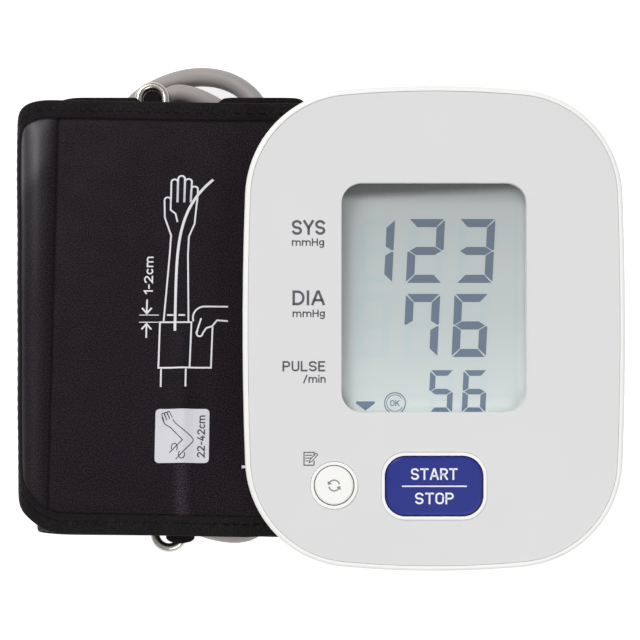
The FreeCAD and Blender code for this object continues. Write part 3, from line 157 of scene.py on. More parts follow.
def tube(rings):
    """A closed tube through rings of points, each end closed by quads across the ring."""
    rows, columns = rings.shape[:2]
    faces = grid_faces(rows, columns, wrap=True)
    step = np.arange(columns // 2 - 1)
    cap = np.stack([step, step + 1, columns - 2 - step, columns - 1 - step], axis=-1)
    return rings.reshape(-1, 3), np.concatenate([faces, cap[:, ::-1], cap + (rows - 1) * columns])


def joined(parts):
    """Several (points, faces) pairs as one."""
    points, faces = zip(*parts)
    starts = np.cumsum([0] + [len(group) for group in points[:-1]])
    return np.concatenate(points), np.concatenate([group + start for group, start in zip(faces, starts)])


def unit(vectors):
    """Vectors at a length of 1."""
    return vectors / np.maximum(np.linalg.norm(vectors, axis=-1, keepdims=True), SHORTEST)


def travelled(points):
    """Distances along a line of points, from its first."""
    return np.concatenate([[0], np.cumsum(np.linalg.norm(np.diff(points, axis=0), axis=-1))])


def line_at(marks, travel, points):
    """Points of a flat line at distances along it."""
    return np.stack([np.interp(marks, travel, points[:, side]) for side in (0, 1)], axis=-1)


def link_object(name, data):
    """A new object at the origin, in the scene."""
    new = bpy.data.objects.new(name, data)
    bpy.context.scene.collection.objects.link(new)
    return new


def take_place(piece, body, stands_for=None):
    """Lets a piece ride on a body, in place of a CAD node where one is named."""
    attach(piece, body)
    if stands_for:
        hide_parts(stands_for)
    return piece


def add_piece(name, points, faces, material, body, slot, stands_for=None, uv=None, smooth=True):
    """A new piece from points in millimetres, whose faces point outwards, with a UV map if one is given."""
    mesh = bpy.data.meshes.new(name)
    mesh.from_pydata((points * MM).tolist(), [], faces if isinstance(faces, list) else faces.tolist())
    if uv is not None:
        corners = np.empty(len(mesh.loops), np.int32)
        mesh.loops.foreach_get("vertex_index", corners)
        layer = mesh.uv_layers.new(name="cloth")
        layer.data.foreach_set("uv", (uv[corners] * MM).astype(np.float32).ravel())
    mesh.polygons.foreach_set("use_smooth", np.full(len(mesh.polygons), smooth))
    mesh.materials.append(material)
    mesh.update()
    return take_place(link_object(name, mesh), body, stands_for)


# Material making
NOISE_SPAN = (0.3, 0.7)
SATIN_SPREAD = (0.85, 1.15)
MOTTLE_SIZE = 18
SCRATCH_SIZE = 0.3
SCRATCH_SPREAD = (0.7, 1.4)
TARNISH_SIZE = 4
TARNISH = (0.86, 1.05)
CLOTH_SHINE = 0.08
CLOTH_PATCH = 7
DARK_THREAD = 0.55
SPECKLE_SHARE = 0.9
SPECKLE_HEIGHT = 3
THREAD_SPAN = (0.42, 0.68)


def shader_of(name, colour, roughness, **sockets):
    """A new material; returns it, its node tree and its main shader with constant sockets set."""
    material = bpy.data.materials.new(name)
    material.use_nodes = True
    tree = material.node_tree
    shader = tree.nodes["Principled BSDF"]
    shader.inputs["Base Color"].default_value = (*colour, 1)
    shader.inputs["Roughness"].default_value = roughness
    for socket, number in sockets.items():
        shader.inputs[socket.replace("_", " ")].default_value = number
    return material, tree, shader


def make_node(tree, kind, inputs, **settings):
    """A new shader node with settings; each named input gets a constant or another node's output."""
    node = tree.nodes.new("ShaderNode" + kind)
    for setting, choice in settings.items():
        setattr(node, setting, choice)
    for socket, source in inputs.items():
        if isinstance(source, bpy.types.NodeSocket):
            tree.links.new(source, node.inputs[socket])
        else:
            node.inputs[socket].default_value = source
    return node


def math_node(tree, operation, *operands):
    """The output of one sum of numbers and other outputs."""
    return make_node(tree, "Math", dict(enumerate(operands)), operation=operation).outputs[0]


def vector_node(tree, operation, inputs, output="Vector"):
    """The output of one sum of vectors."""
    return make_node(tree, "VectorMath", inputs, operation=operation).outputs[output]


def coordinates(tree, kind):
    """Places on the piece, in metres: Object, or its own UV map."""
    return make_node(tree, "TexCoord", {}).outputs[kind]


def uv_axes(tree):
    """The distances along and across the band, from the UV map."""
    split = make_node(tree, "SeparateXYZ", {"Vector": coordinates(tree, "UV")})
    return split.outputs["X"], split.outputs["Y"]


def noise(tree, grain, detail=3.0, coordinate="Object"):
    """The height of a noise whose grain is a size in millimetres."""
    inputs = {"Scale": 1 / (grain * MM), "Detail": detail, "Vector": coordinates(tree, coordinate)}
    return make_node(tree, "TexNoise", inputs).outputs["Fac"]


def map_range(tree, height, start, end, low, high, way):
    """A number that goes from low to high as a height goes from a start to an end."""
    inputs = {"Value": height, "From Min": start, "From Max": end, "To Min": low, "To Max": high}
    return make_node(tree, "MapRange", inputs, interpolation_type=way).outputs["Result"]


def fade(tree, place, start, end, low, high):
    """A number that goes smoothly from low to high as a place goes from a start to an end in millimetres."""
    return map_range(tree, place, start * MM, end * MM, low, high, "SMOOTHSTEP")


def blend_colours(tree, shader, height, low, high, span=NOISE_SPAN):
    """Base colour from low to high as a height goes over a span."""
    ramp = make_node(tree, "ValToRGB", {"Fac": height})
    for element, place, colour in zip(ramp.color_ramp.elements, span, (low, high)):
        element.position = place
        element.color = (*colour, 1)
    tree.links.new(ramp.outputs["Color"], shader.inputs["Base Color"])


def scale_colour(tree, shader, colour, factor):
    """Base colour as a colour, constant or from another node, times a factor."""
    tinted = vector_node(tree, "SCALE", {0: colour, "Scale": factor})
    tree.links.new(tinted, shader.inputs["Base Color"])


def vary_roughness(tree, shader, height, roughness, spread):
    """Roughness that varies with a height, between two shares of its mean."""
    low, high = [roughness * share for share in spread]
    varied = map_range(tree, height, *NOISE_SPAN, low, high, "LINEAR")
    tree.links.new(varied, shader.inputs["Roughness"])


def raise_bump(tree, shader, height, depth, strength):
    """Bump of a depth in millimetres from a height."""
    bump = make_node(tree, "Bump", {"Distance": depth * MM, "Strength": strength, "Height": height})
    tree.links.new(bump.outputs["Normal"], shader.inputs["Normal"])


def shade(colour, factor):
    """A colour made darker or lighter."""
    return tuple(min(1.0, part * factor) for part in colour)


def moulded(name, colour, roughness, grain=0.5, depth=0.01, mottle=0.03, **sockets):
    """Moulded plastic: a fine satin grain in bump and roughness, and a faint mottling."""
    material, tree, shader = shader_of(name, colour, roughness, **sockets)
    fine = noise(tree, grain)
    raise_bump(tree, shader, fine, depth, strength=0.5)
    vary_roughness(tree, shader, fine, roughness, SATIN_SPREAD)
    patches = noise(tree, MOTTLE_SIZE, detail=2)
    blend_colours(tree, shader, patches, shade(colour, 1 - mottle), shade(colour, 1 + mottle))
    return material


def metal(name, colour, roughness):
    """Bright metal with fine drawn scratches and a little tarnish."""
    material, tree, shader = shader_of(name, colour, roughness, Metallic=1.0)
    fine = noise(tree, SCRATCH_SIZE, detail=4)
    raise_bump(tree, shader, fine, depth=0.004, strength=0.4)
    vary_roughness(tree, shader, fine, roughness, SCRATCH_SPREAD)
    blend_colours(tree, shader, noise(tree, TARNISH_SIZE), *[shade(colour, part) for part in TARNISH])
    return material


def woven(name, colour, roughness, pitch, depth, sparkle, sheen):
    """Woven cloth on its own UV map, in metres along and across the band: threads of a pitch in millimetres
    as the product of two sines, a speckle of brighter threads and a soft sheen."""
    material, tree, shader = shader_of(name, colour, roughness, Sheen_Weight=sheen, Sheen_Roughness=0.4,
                                       Specular_IOR_Level=CLOTH_SHINE)
    turns = 2 * math.pi / (pitch * MM)
    waves = [math_node(tree, "SINE", math_node(tree, "MULTIPLY", axis, turns)) for axis in uv_axes(tree)]
    weave = math_node(tree, "MULTIPLY", *waves)
    speckle = noise(tree, pitch * SPECKLE_SHARE, 1, "UV")
    height = math_node(tree, "ADD", weave, math_node(tree, "MULTIPLY", speckle, SPECKLE_HEIGHT))
    raise_bump(tree, shader, height, depth, strength=0.6)
    blend_colours(tree, shader, speckle, shade(colour, DARK_THREAD), shade(colour, sparkle), THREAD_SPAN)
    vary_roughness(tree, shader, noise(tree, CLOTH_PATCH, 2, "UV"), roughness, SATIN_SPREAD)
    return material, tree, shader


# Gloss and painted light and shade of the outer cloth, by distances along and across the band
STRIP_FADE = 4
SHEEN_SLANT = 1.3
SHEEN_START = 43
SHEEN_FADE = 9
SHEEN_FRONT = 0.42
GLOSS_REACH = (0, 42)
GLOSS_FRONT = 0.35
STRIP_COAT = 0.82
COAT_ROUGHNESS = 0.5
COAT_IOR = 1.6
STRIP_PAINTED_SHEEN = 0.6
SEAM_HALF = (0.2, 0.6)
SEAM_PAINTED_SHADE = 0.35
RIDGE_HIGHLIGHT_FADES = (3.2, 3.6)
RIDGE_HIGHLIGHT_ENDS = (-52, -30)
RIDGE_HIGHLIGHT_PALENESS = 1.8
NYLON_TINT = (1.0, 0.9, 1.0, 1)


def cloth_gloss_and_painted_light(material, tree, shader, stitch_line, ridge):
    """Gloss and painted light on the band's cloth, at distances from its end: a coated strip up to the stitch
    line, made paler by a painted sheen, both strongest behind a slanting line near the back, painted shade in
    the seam's groove at that line, and a painted highlight along the ridge towards the front."""
    along, across = uv_axes(tree)
    # The coat gives the strip real gloss, and its paler colour is a painted sheen
    strip = fade(tree, along, stitch_line - STRIP_FADE, stitch_line, 1, 0)
    # The coat and the painted sheen are strongest behind a slanting line near the back
    sheen_line = math_node(tree, "ADD", across, math_node(tree, "MULTIPLY", along, -SHEEN_SLANT))
    start = SHEEN_START - SHEEN_SLANT * stitch_line
    sheen_patch = fade(tree, sheen_line, start, start + SHEEN_FADE, SHEEN_FRONT, 1)
    sheen_patch = math_node(tree, "MULTIPLY", sheen_patch, fade(tree, across, *GLOSS_REACH, GLOSS_FRONT, 1))
    strip = math_node(tree, "MULTIPLY", strip, sheen_patch)
    shader.inputs["Coat Roughness"].default_value = COAT_ROUGHNESS
    shader.inputs["Coat IOR"].default_value = COAT_IOR
    shader.inputs["Specular Tint"].default_value = NYLON_TINT
    tree.links.new(math_node(tree, "MULTIPLY", strip, STRIP_COAT), shader.inputs["Coat Weight"])
    # Painted shade in the seam's groove: the base colour is darkened on both sides of the stitch line
    near, far = SEAM_HALF
    seam = math_node(tree, "MAXIMUM", fade(tree, along, stitch_line - far, stitch_line - near, 1, SEAM_PAINTED_SHADE),
                     fade(tree, along, stitch_line + near, stitch_line + far, SEAM_PAINTED_SHADE, 1))
    # Painted highlight along the ridge that the ring lifts, paler towards the front
    before, after = RIDGE_HIGHLIGHT_FADES
    ridge_highlight = math_node(tree, "MINIMUM", fade(tree, along, ridge - before, ridge, 0, 1),
                       fade(tree, along, ridge, ridge + after, 1, 0))
    ridge_highlight = math_node(tree, "MULTIPLY", ridge_highlight, fade(tree, across, *RIDGE_HIGHLIGHT_ENDS, RIDGE_HIGHLIGHT_PALENESS, 0))
    # The painted sheen on the strip and the painted highlight on the ridge make the base colour paler
    painted_light = math_node(tree, "ADD", ridge_highlight, math_node(tree, "MULTIPLY", strip, STRIP_PAINTED_SHEEN))
    factor = math_node(tree, "MULTIPLY", seam, math_node(tree, "ADD", 1, painted_light))
    scale_colour(tree, shader, shader.inputs["Base Color"].links[0].from_socket, factor)
    return material


def dress(material, *nodes):
    """Gives CAD nodes a material."""
    for node in nodes:
        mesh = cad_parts[node].data
        mesh.materials.clear()
        mesh.materials.append(material)


# Rolled band of the cuff: a flat spiral from the flap's end inwards
FOLDS = 3
HALF_WIDTH = 65.0
HALF_BAND = 0.75
PITCH = 1.9
TOP_LEVEL = 22.15
RIGHT_X = 28.55
LEFT_X = -23.55
BAND_END = -7.7
FLAP_BEND_X = -35.9
FLAP_BEND_RADIUS = 4.2
FLAP_BEND = math.radians(80)
FLAP_TAIL = 3.5
FRONT_CORNER = 21.0
BACK_CORNER = 13.5
STITCH_LINE_X = -29.8
RIDGE_X = 9.6


def band_runs():
    """The band's line as runs: (length, start or middle, radius, first angle).  A run with no radius is
    straight, and its first angle is its heading; round runs turn clockwise, seen from -Y."""
    tail_angle = math.pi / 2 + FLAP_BEND
    bend = np.array([FLAP_BEND_X, TOP_LEVEL - FLAP_BEND_RADIUS])
    rim = bend + FLAP_BEND_RADIUS * np.array([math.cos(tail_angle), math.sin(tail_angle)])
    tail = rim - FLAP_TAIL * np.array([math.cos(FLAP_BEND), math.sin(FLAP_BEND)])
    runs = [
        (FLAP_TAIL, tail, 0, FLAP_BEND),
        (FLAP_BEND_RADIUS * FLAP_BEND, bend, FLAP_BEND_RADIUS, tail_angle),
    ]
    start = FLAP_BEND_X
    for turn in range(FOLDS):
        top = TOP_LEVEL - turn * PITCH
        bottom = HALF_BAND + turn * PITCH
        right = (top - bottom) / 2
        left = right - PITCH / 2
        runs += [
            (RIGHT_X - start, (start, top), 0, 0.0),
            (math.pi * right, (RIGHT_X, bottom + right), right, math.pi / 2),
            (RIGHT_X - LEFT_X, (RIGHT_X, bottom), 0, math.pi),
            (math.pi * left, (LEFT_X, bottom + left), left, -math.pi / 2),
        ]
        start = LEFT_X
    runs.append((BAND_END - LEFT_X, (LEFT_X, TOP_LEVEL - FOLDS * PITCH), 0, 0.0))
    return runs


RUNS = band_runs()
RUN_ENDS = np.cumsum([run[0] for run in RUNS])
BAND_LENGTH = RUN_ENDS[-1]
TOP_START = RUN_ENDS[1]
TOP_END = RUN_ENDS[2]
INNER_START = RUN_ENDS[5]

# The layers slip along the roll by these lengths, at these distances from the flap's end
SLIP_MARKS = (TOP_START, TOP_END, RUN_ENDS[3], INNER_START)
SLIPS = (-1.9, -3.1, -1.2, -0.5)
WIDTH_STRETCH = 1.021

# Soft forms: rises off the band's line, widths, and spans over which a form comes in and goes out
TOP_FADE = (0, 12)
WAVE_EDGE = (2, 12)
CROWN_RISE = 0.5
CROWN_REACH = 14
CROWN_EDGE = (4, 20)
SWELL_X = -34.4
SWELL_WIDTH = 3.2
SWELL_WAVER = 0.1
SWELL_WAVER_LENGTH = 6.5
SWELL_RISE = 0.8
SWELL_SPAN = (-61, -50, 54, 60)
BACK_SWELL_RISE = 0.9
BACK_SWELL_SPAN = (-5, 34, 36, 60)
SEAM_DEPTH = 0.5
SEAM_WIDTH = 0.8
SEAM_EDGE = (4, 6)
RIDGE_RISE = 0.9
RIDGE_WIDTH = 2.6
RIDGE_SPAN = (-66, -56, -25, 5)
PUCKER_RISE = 0.25
PUCKER_Y = -57
PUCKER_WIDTH = 2.2
PUCKER_SPAN = (-28, -18, -12, 2)

# Leaning, flaring and squaring of the whole roll, and the spans over which each comes in
LEAN = 2.7
LEAN_REACH = (25, 41)
BACK_FLARE = 7.4
BACK_FLARE_X = (4, 34)
BACK_FLARE_Y = (22, HALF_WIDTH)
FRONT_FLARE = 2.7
FRONT_FLARE_X = (20, 36)
FRONT_FLARE_Y = (0, 40)
FRONT_FLARE_Z = (-15, -9)
DRAW_IN = 3.2
DRAW_IN_Y = (40, 62)
DRAW_IN_FADE = 8
RING_SPAN = (-7, -3, 14, 18)
FOLD_RADIUS = 9.7
FOLD_POWER = 0.45
FOLD_Y = (35, HALF_WIDTH)
FLOOR_GAP = 0.02


def band_line(along):
    """Place and outward normal of the band's line at distances from the flap's end, in the roll's X and Z.
    Straight: start + distance * heading.  Round: middle + radius * (cos, sin) of the first angle less
    distance / radius."""
    along = np.asarray(along, float)
    run_of = np.minimum(np.searchsorted(RUN_ENDS, along, side="right"), len(RUNS) - 1)
    place = np.zeros(along.shape + (2,))
    normal = np.zeros(along.shape + (2,))
    for number, (length, origin, radius, angle) in enumerate(RUNS):
        here = run_of == number
        travel = along[here] - (RUN_ENDS[number] - length)
        if radius:
            turned = angle - travel / radius
            normal[here] = np.stack([np.cos(turned), np.sin(turned)], axis=-1)
            place[here] = origin + radius * normal[here]
        else:
            heading = np.array([math.cos(angle), math.sin(angle)])
            normal[here] = [-heading[1], heading[0]]
            place[here] = origin + travel[:, None] * heading
    return place, normal


def smooth_step(x, low, high):
    """0 below low, 1 above high, and a smooth cubic between."""
    share = np.clip((x - low) / (high - low), 0, 1)
    return share * share * (3 - 2 * share)


def between(x, rise_start, rise_end, fall_start, fall_end):
    """Up from 0 to 1 over the rise and down again over the fall."""
    return smooth_step(x, rise_start, rise_end) * smooth_step(-x, -fall_end, -fall_start)


def hump(x, middle, width):
    """A bell of height 1."""
    return np.exp(-((x - middle) / width) ** 2)


def top_distance(x):
    """Distance from the flap's end of a place on the top layer."""
    return TOP_START - FLAP_BEND_X + x


def top_share(along):
    """1 on the top layer, fading to 0 at its right-hand end."""
    return smooth_step(TOP_END - along, *TOP_FADE)


def band_softness(along, across, wrinkle):
    """How far the cloth stands off its line: crossing waves all over, as products of sines, and on the top
    layer a low crown, the swollen strip outside the flap's stitch line, that line's sunk seam, the ridge that
    the ring lifts and a pucker along the front."""
    edge = HALF_WIDTH - np.abs(across)
    waves = (np.sin(along / 7.9 + across / 13.1 + 1.3) * np.sin(across / 9.7 - along / 14.5 + 0.4)
             + 0.6 * np.sin(along / 5.1 - across / 21.0) * np.cos(across / 15.3 + 0.9))
    lift = wrinkle * waves * smooth_step(edge, *WAVE_EDGE)
    x = along - TOP_START + FLAP_BEND_X
    crown = CROWN_RISE * smooth_step(x, STITCH_LINE_X, STITCH_LINE_X + CROWN_REACH)
    crown *= smooth_step(edge, *CROWN_EDGE)
    swell = hump(x, SWELL_X, SWELL_WIDTH) * (SWELL_RISE * between(across, *SWELL_SPAN)
                                             + BACK_SWELL_RISE * between(across, *BACK_SWELL_SPAN))
    swell *= 1 + SWELL_WAVER * np.sin(across / SWELL_WAVER_LENGTH)
    seam = -SEAM_DEPTH * hump(x, STITCH_LINE_X, SEAM_WIDTH) * smooth_step(edge, *SEAM_EDGE)
    ridge = RIDGE_RISE * hump(x, RIDGE_X, RIDGE_WIDTH) * between(across, *RIDGE_SPAN)
    pucker = PUCKER_RISE * hump(across, PUCKER_Y, PUCKER_WIDTH) * between(x, *PUCKER_SPAN)
    return lift + top_share(along) * (crown + swell + seam + ridge + pucker)


def band_point(along, across, lift, wrinkle):
    """Points of the rolled band, from the distance along it, across it and off its line.  The flap's end
    leans.  The right-hand folds flare and square up towards the back, where the hose pushes them out (each
    part of the normal to a power below 1, a superellipse), and flare low down at the front.  The layers slip
    a little along the roll, the inner ones draw in behind the ring, and the lowest lies flat on the floor."""
    along, across, lift = np.broadcast_arrays(along, across, lift)
    place, normal = band_line(along)
    upper_right = np.where((normal > 0).all(axis=-1, keepdims=True), normal, 0)
    square = smooth_step(across, *FOLD_Y)[..., None] * (upper_right ** FOLD_POWER - upper_right)
    off = (lift + band_softness(along, across, wrinkle))[..., None]
    x, z = np.moveaxis(place + off * normal + FOLD_RADIUS * square, -1, 0)
    lean = -LEAN * across / HALF_WIDTH * smooth_step(-x, *LEAN_REACH) * top_share(along)
    back = BACK_FLARE * smooth_step(across, *BACK_FLARE_Y) * smooth_step(x, *BACK_FLARE_X)
    front = FRONT_FLARE * smooth_step(-across, *FRONT_FLARE_Y) * smooth_step(x, *FRONT_FLARE_X)
    front *= smooth_step(-z, *FRONT_FLARE_Z)
    inner = smooth_step(along, INNER_START, INNER_START + DRAW_IN_FADE)
    draw_in = DRAW_IN * smooth_step(across, *DRAW_IN_Y) * between(x, *RING_SPAN) * inner
    y = WIDTH_STRETCH * across + np.interp(along, SLIP_MARKS, SLIPS) - draw_in
    return np.stack([x + lean + back + front, y, np.maximum(z, FLOOR_GAP)], axis=-1) + CUFF_ORIGIN


# Grids over the band
CORNER_POINTS = 17
FLAP_END_POINTS = 31
CLOTH_ROWS = 330
CLOTH_COLUMNS = 70
ROW_POWER = 1.15
COLUMN_POWER = 1.25
EDGE_TUCK = 0.28
TUCK_FADE = 1.6
HOOK_GRID = (40, 60)
STRAP_GRID = (30, 17)
TAB_GRID = (44, 70)

# Layers of the band: distances off its line, margins and reach
CLOTH_FACE = 0.34
BLADDER_HALF = 0.28
BLADDER_MARGIN = 0.8
BLADDER_START = 32
BLADDER_STOP = 6
HOOK_REACH = (-33, -8)
HOOK_HALF_WIDTH = 48
HOOK_LIFTS = (-0.77, -0.95)


def side_edge(inset, corner, count):
    """One side of the band's outline in (along, across), inset: from the inner end to the middle of the
    flap's end, round a corner."""
    radius = corner - inset
    half = HALF_WIDTH - inset
    side = np.linspace(BAND_LENGTH, corner, count)[:-1]
    turn = np.linspace(0, math.pi / 2, CORNER_POINTS)
    end = np.linspace(half - radius, 0, FLAP_END_POINTS)[1:]
    return np.concatenate([
        np.stack([side, np.full_like(side, half)], axis=-1),
        np.stack([corner - radius * np.sin(turn), half - radius + radius * np.cos(turn)], axis=-1),
        np.stack([np.full_like(end, inset), end], axis=-1),
    ])


def flap_edge(inset, count):
    """The band's outline in (along, across), inset, from the inner end at the front round the flap to the
    inner end at the back."""
    front = side_edge(inset, FRONT_CORNER, count) * [1, -1]
    back = side_edge(inset, BACK_CORNER, count)
    return np.concatenate([front, back[-2::-1]])


def half_width(along, inset, corner):
    """Half the width of the inset outline on the side with this corner: a circle's arc, then straight."""
    radius = corner - inset
    into = np.clip(corner - along, 0, radius)
    return HALF_WIDTH - inset - radius + np.sqrt(radius ** 2 - into ** 2)


def field_grid(low, high, inset):
    """A grid in (along, across) that fills the inset outline, its rows drawn in at the flap's corners."""
    along = low + (high - low) * np.linspace(0, 1, CLOTH_ROWS)[:, None] ** ROW_POWER
    spread = np.linspace(-1, 1, CLOTH_COLUMNS)
    spread = np.sign(spread) * (1 - (1 - np.abs(spread)) ** COLUMN_POWER)
    front, back = [half_width(along, inset, corner) for corner in (FRONT_CORNER, BACK_CORNER)]
    half = np.where(spread < 0, front, back)
    return np.broadcast_to(along, half.shape), half * spread


def cloth_piece(name, along, across, lifts, wrinkle, material, slot, stands_for):
    """A closed thin solid of cloth between two distances off the band's line, over a grid."""
    points, faces = slab(*[band_point(along, across, lift, wrinkle) for lift in lifts])
    uv = np.tile(np.stack([along, across], axis=-1).reshape(-1, 2), (2, 1))
    return add_piece(name, points, faces[:, ::-1], material, "cuff", slot, stands_for, uv)


def cloth_layer(name, inset, lifts, low, high, *finish):
    """One layer of the rolled band, its outer faces tucked in at the edges."""
    along, across = field_grid(low, high, inset)
    into = HALF_WIDTH - np.abs(across)
    edge = smooth_step(into, inset, inset + TUCK_FADE) * smooth_step(along, low, low + TUCK_FADE)
    tuck = EDGE_TUCK * (1 - edge)
    tucked = [lift - np.sign(lift) * tuck * (abs(lift) == HALF_BAND) for lift in lifts]
    return cloth_piece(name, along, across, tucked, *finish)


class CUFF_OT_cloth(bpy.types.Operator):
    """Makes the rolled cuff's outer cloth, bladder, lining and hook patch"""
    bl_idname = "monitor.cuff_cloth"
    bl_label = "Rolled Cuff Cloth"

    def execute(self, context):
        sizes = context.scene.cuff_sizes
        inset = sizes.tape_width
        wrinkle = sizes.wrinkle
        nylon = woven("coated_nylon", sizes.nylon, 0.5, pitch=0.42, depth=0.02, sparkle=3.3, sheen=0.03)
        nylon = cloth_gloss_and_painted_light(*nylon, top_distance(STITCH_LINE_X), top_distance(RIDGE_X))
        lining = woven("brushed_lining", sizes.lining, 0.85, pitch=0.6, depth=0.08, sparkle=1.6, sheen=0.4)[0]
        film = moulded("bladder_sheet", (0.3, 0.3, 0.32), 0.45)
        outer = cloth_layer("cuff_outer_fabric", inset, (HALF_BAND, CLOTH_FACE), inset, BAND_LENGTH,
                            wrinkle, nylon, "nylon", "cuff_outer_cloth")
        inner = cloth_layer("cuff_lining", inset, (-CLOTH_FACE, -HALF_BAND), inset, BAND_LENGTH,
                            wrinkle, lining, "lining", "cuff_inner_cloth")
        bladder = cloth_layer("bladder_sheets", inset + BLADDER_MARGIN, (BLADDER_HALF, -BLADDER_HALF),
                              BLADDER_START, BAND_LENGTH - BLADDER_STOP,
                              wrinkle, film, "bladder", "air_bladder")
        self.hook_patch(wrinkle)
        return {"FINISHED"}

    def hook_patch(self, wrinkle):
        """A thin strip under the flap, a grid of points between two distances below the flap's lining."""
        colour = (0.012, 0.012, 0.012)
        hooks = woven("hook_tape", colour, 0.6, pitch=0.9, depth=0.3, sparkle=2.0, sheen=0.1)[0]
        rows, columns = HOOK_GRID
        along = top_distance(np.linspace(*HOOK_REACH, rows)[:, None])
        across = np.linspace(-HOOK_HALF_WIDTH, HOOK_HALF_WIDTH, columns)[None, :]
        along, across = np.broadcast_arrays(along, across)
        cloth_piece("hook_strip", along, across, HOOK_LIFTS, wrinkle, hooks, "hook", "hook_patch")


# Binding tape, its stitches and the flap's stitch line
TAPE_HALF_THICK = 0.86
TAPE_RING_POINTS = 28
TAPE_SQUARENESS = 3.4
TAPE_TOP_RISE = 0.2
TAPE_STEPS = 330
STITCH_ROW = 0.61
STITCH_ROW_STEPS = 900
STITCH_ROW_START = 2.0
STITCH_RISE = 0.1
LINE_LIFT = 0.72
LINE_MARGIN = 1
STITCH_HALF = (1.15, 0.26, 0.2)
STITCH_RINGS = 5
STITCH_SIDES = 6
STITCH_POLE = 0.25

# Ring and the tab round its bar, which lies a little askew
RING_SKEW = math.radians(3.4)
RING_MIDDLE = 1.5
RING_HALF_SPAN = 4.2
RING_LEVEL = 14.05
TAB_HALF_WIDTH = 54
TAB_RADII = (2.1, 1.45)
TAB_TURN = math.radians(305)
TAB_RUN = 0.3
TAB_OVERLAP = 0.15
TAB_RIPPLE = 0.02
TAB_RIPPLE_LENGTH = 3.1

# Cloth ends beside the ring, at the front and at the back: middle, half width, root, tip, length of the
# rounding and level
STRAP_ENDS = ((9.2, 4.2, -58.0, -71.0, 1.8, 18.3), (-2.5, 2.75, 58.0, 70.6, 2.75, 13.4))
STRAP_EDGE = 0.08
STRAP_SWELL = 0.45
STRAP_WAVE = 0.12
STRAP_TIP = 0.99


def tape_rings(width):
    """Rings of the binding tape: round the band's outline, each ring a superellipse in the distance in from
    the edge and the distance off the band's line."""
    outer = flap_edge(0.0, TAPE_STEPS)
    inner = flap_edge(width, TAPE_STEPS)
    angle = np.linspace(0, 2 * math.pi, TAPE_RING_POINTS, endpoint=False)
    power = 2 / TAPE_SQUARENESS
    share = 0.5 - 0.5 * np.sign(np.cos(angle)) * np.abs(np.cos(angle)) ** power
    rise = np.sign(np.sin(angle)) * np.abs(np.sin(angle)) ** power
    flat = outer[:, None] + (inner - outer)[:, None] * share[None, :, None]
    lift = TAPE_HALF_THICK * rise + TAPE_TOP_RISE * top_share(flat[..., 0]) * np.maximum(rise, 0)
    return flat, lift, angle


def strap_end(middle, half, root, tip, rounding, level):
    """A short tongue of cloth with an elliptic end: its half width is half * sqrt(1 - into ** 2), where into
    is the share of the rounding passed.  Its faces close towards the edges with sqrt(1 - side ** 4)."""
    rows, columns = STRAP_GRID
    share = np.linspace(0, 1, rows)[:, None]
    side = np.linspace(-1, 1, columns)[None, :] * math.copysign(1, tip - root)
    left = (1 - share) * abs(tip - root)
    into = STRAP_TIP * np.clip(1 - left / rounding, 0, 1)
    x = middle + half * np.sqrt(1 - into ** 2) * side
    y = root + (tip - root) * share
    z = level + STRAP_WAVE * np.sin(3 * side + 5 * share)
    thick = STRAP_EDGE + STRAP_SWELL * np.sqrt(1 - side ** 4) * np.sqrt(1 - into ** 2)
    return slab(*[np.stack(np.broadcast_arrays(x, y, z + way * thick), axis=-1) + CUFF_ORIGIN
                  for way in (1, -1)])


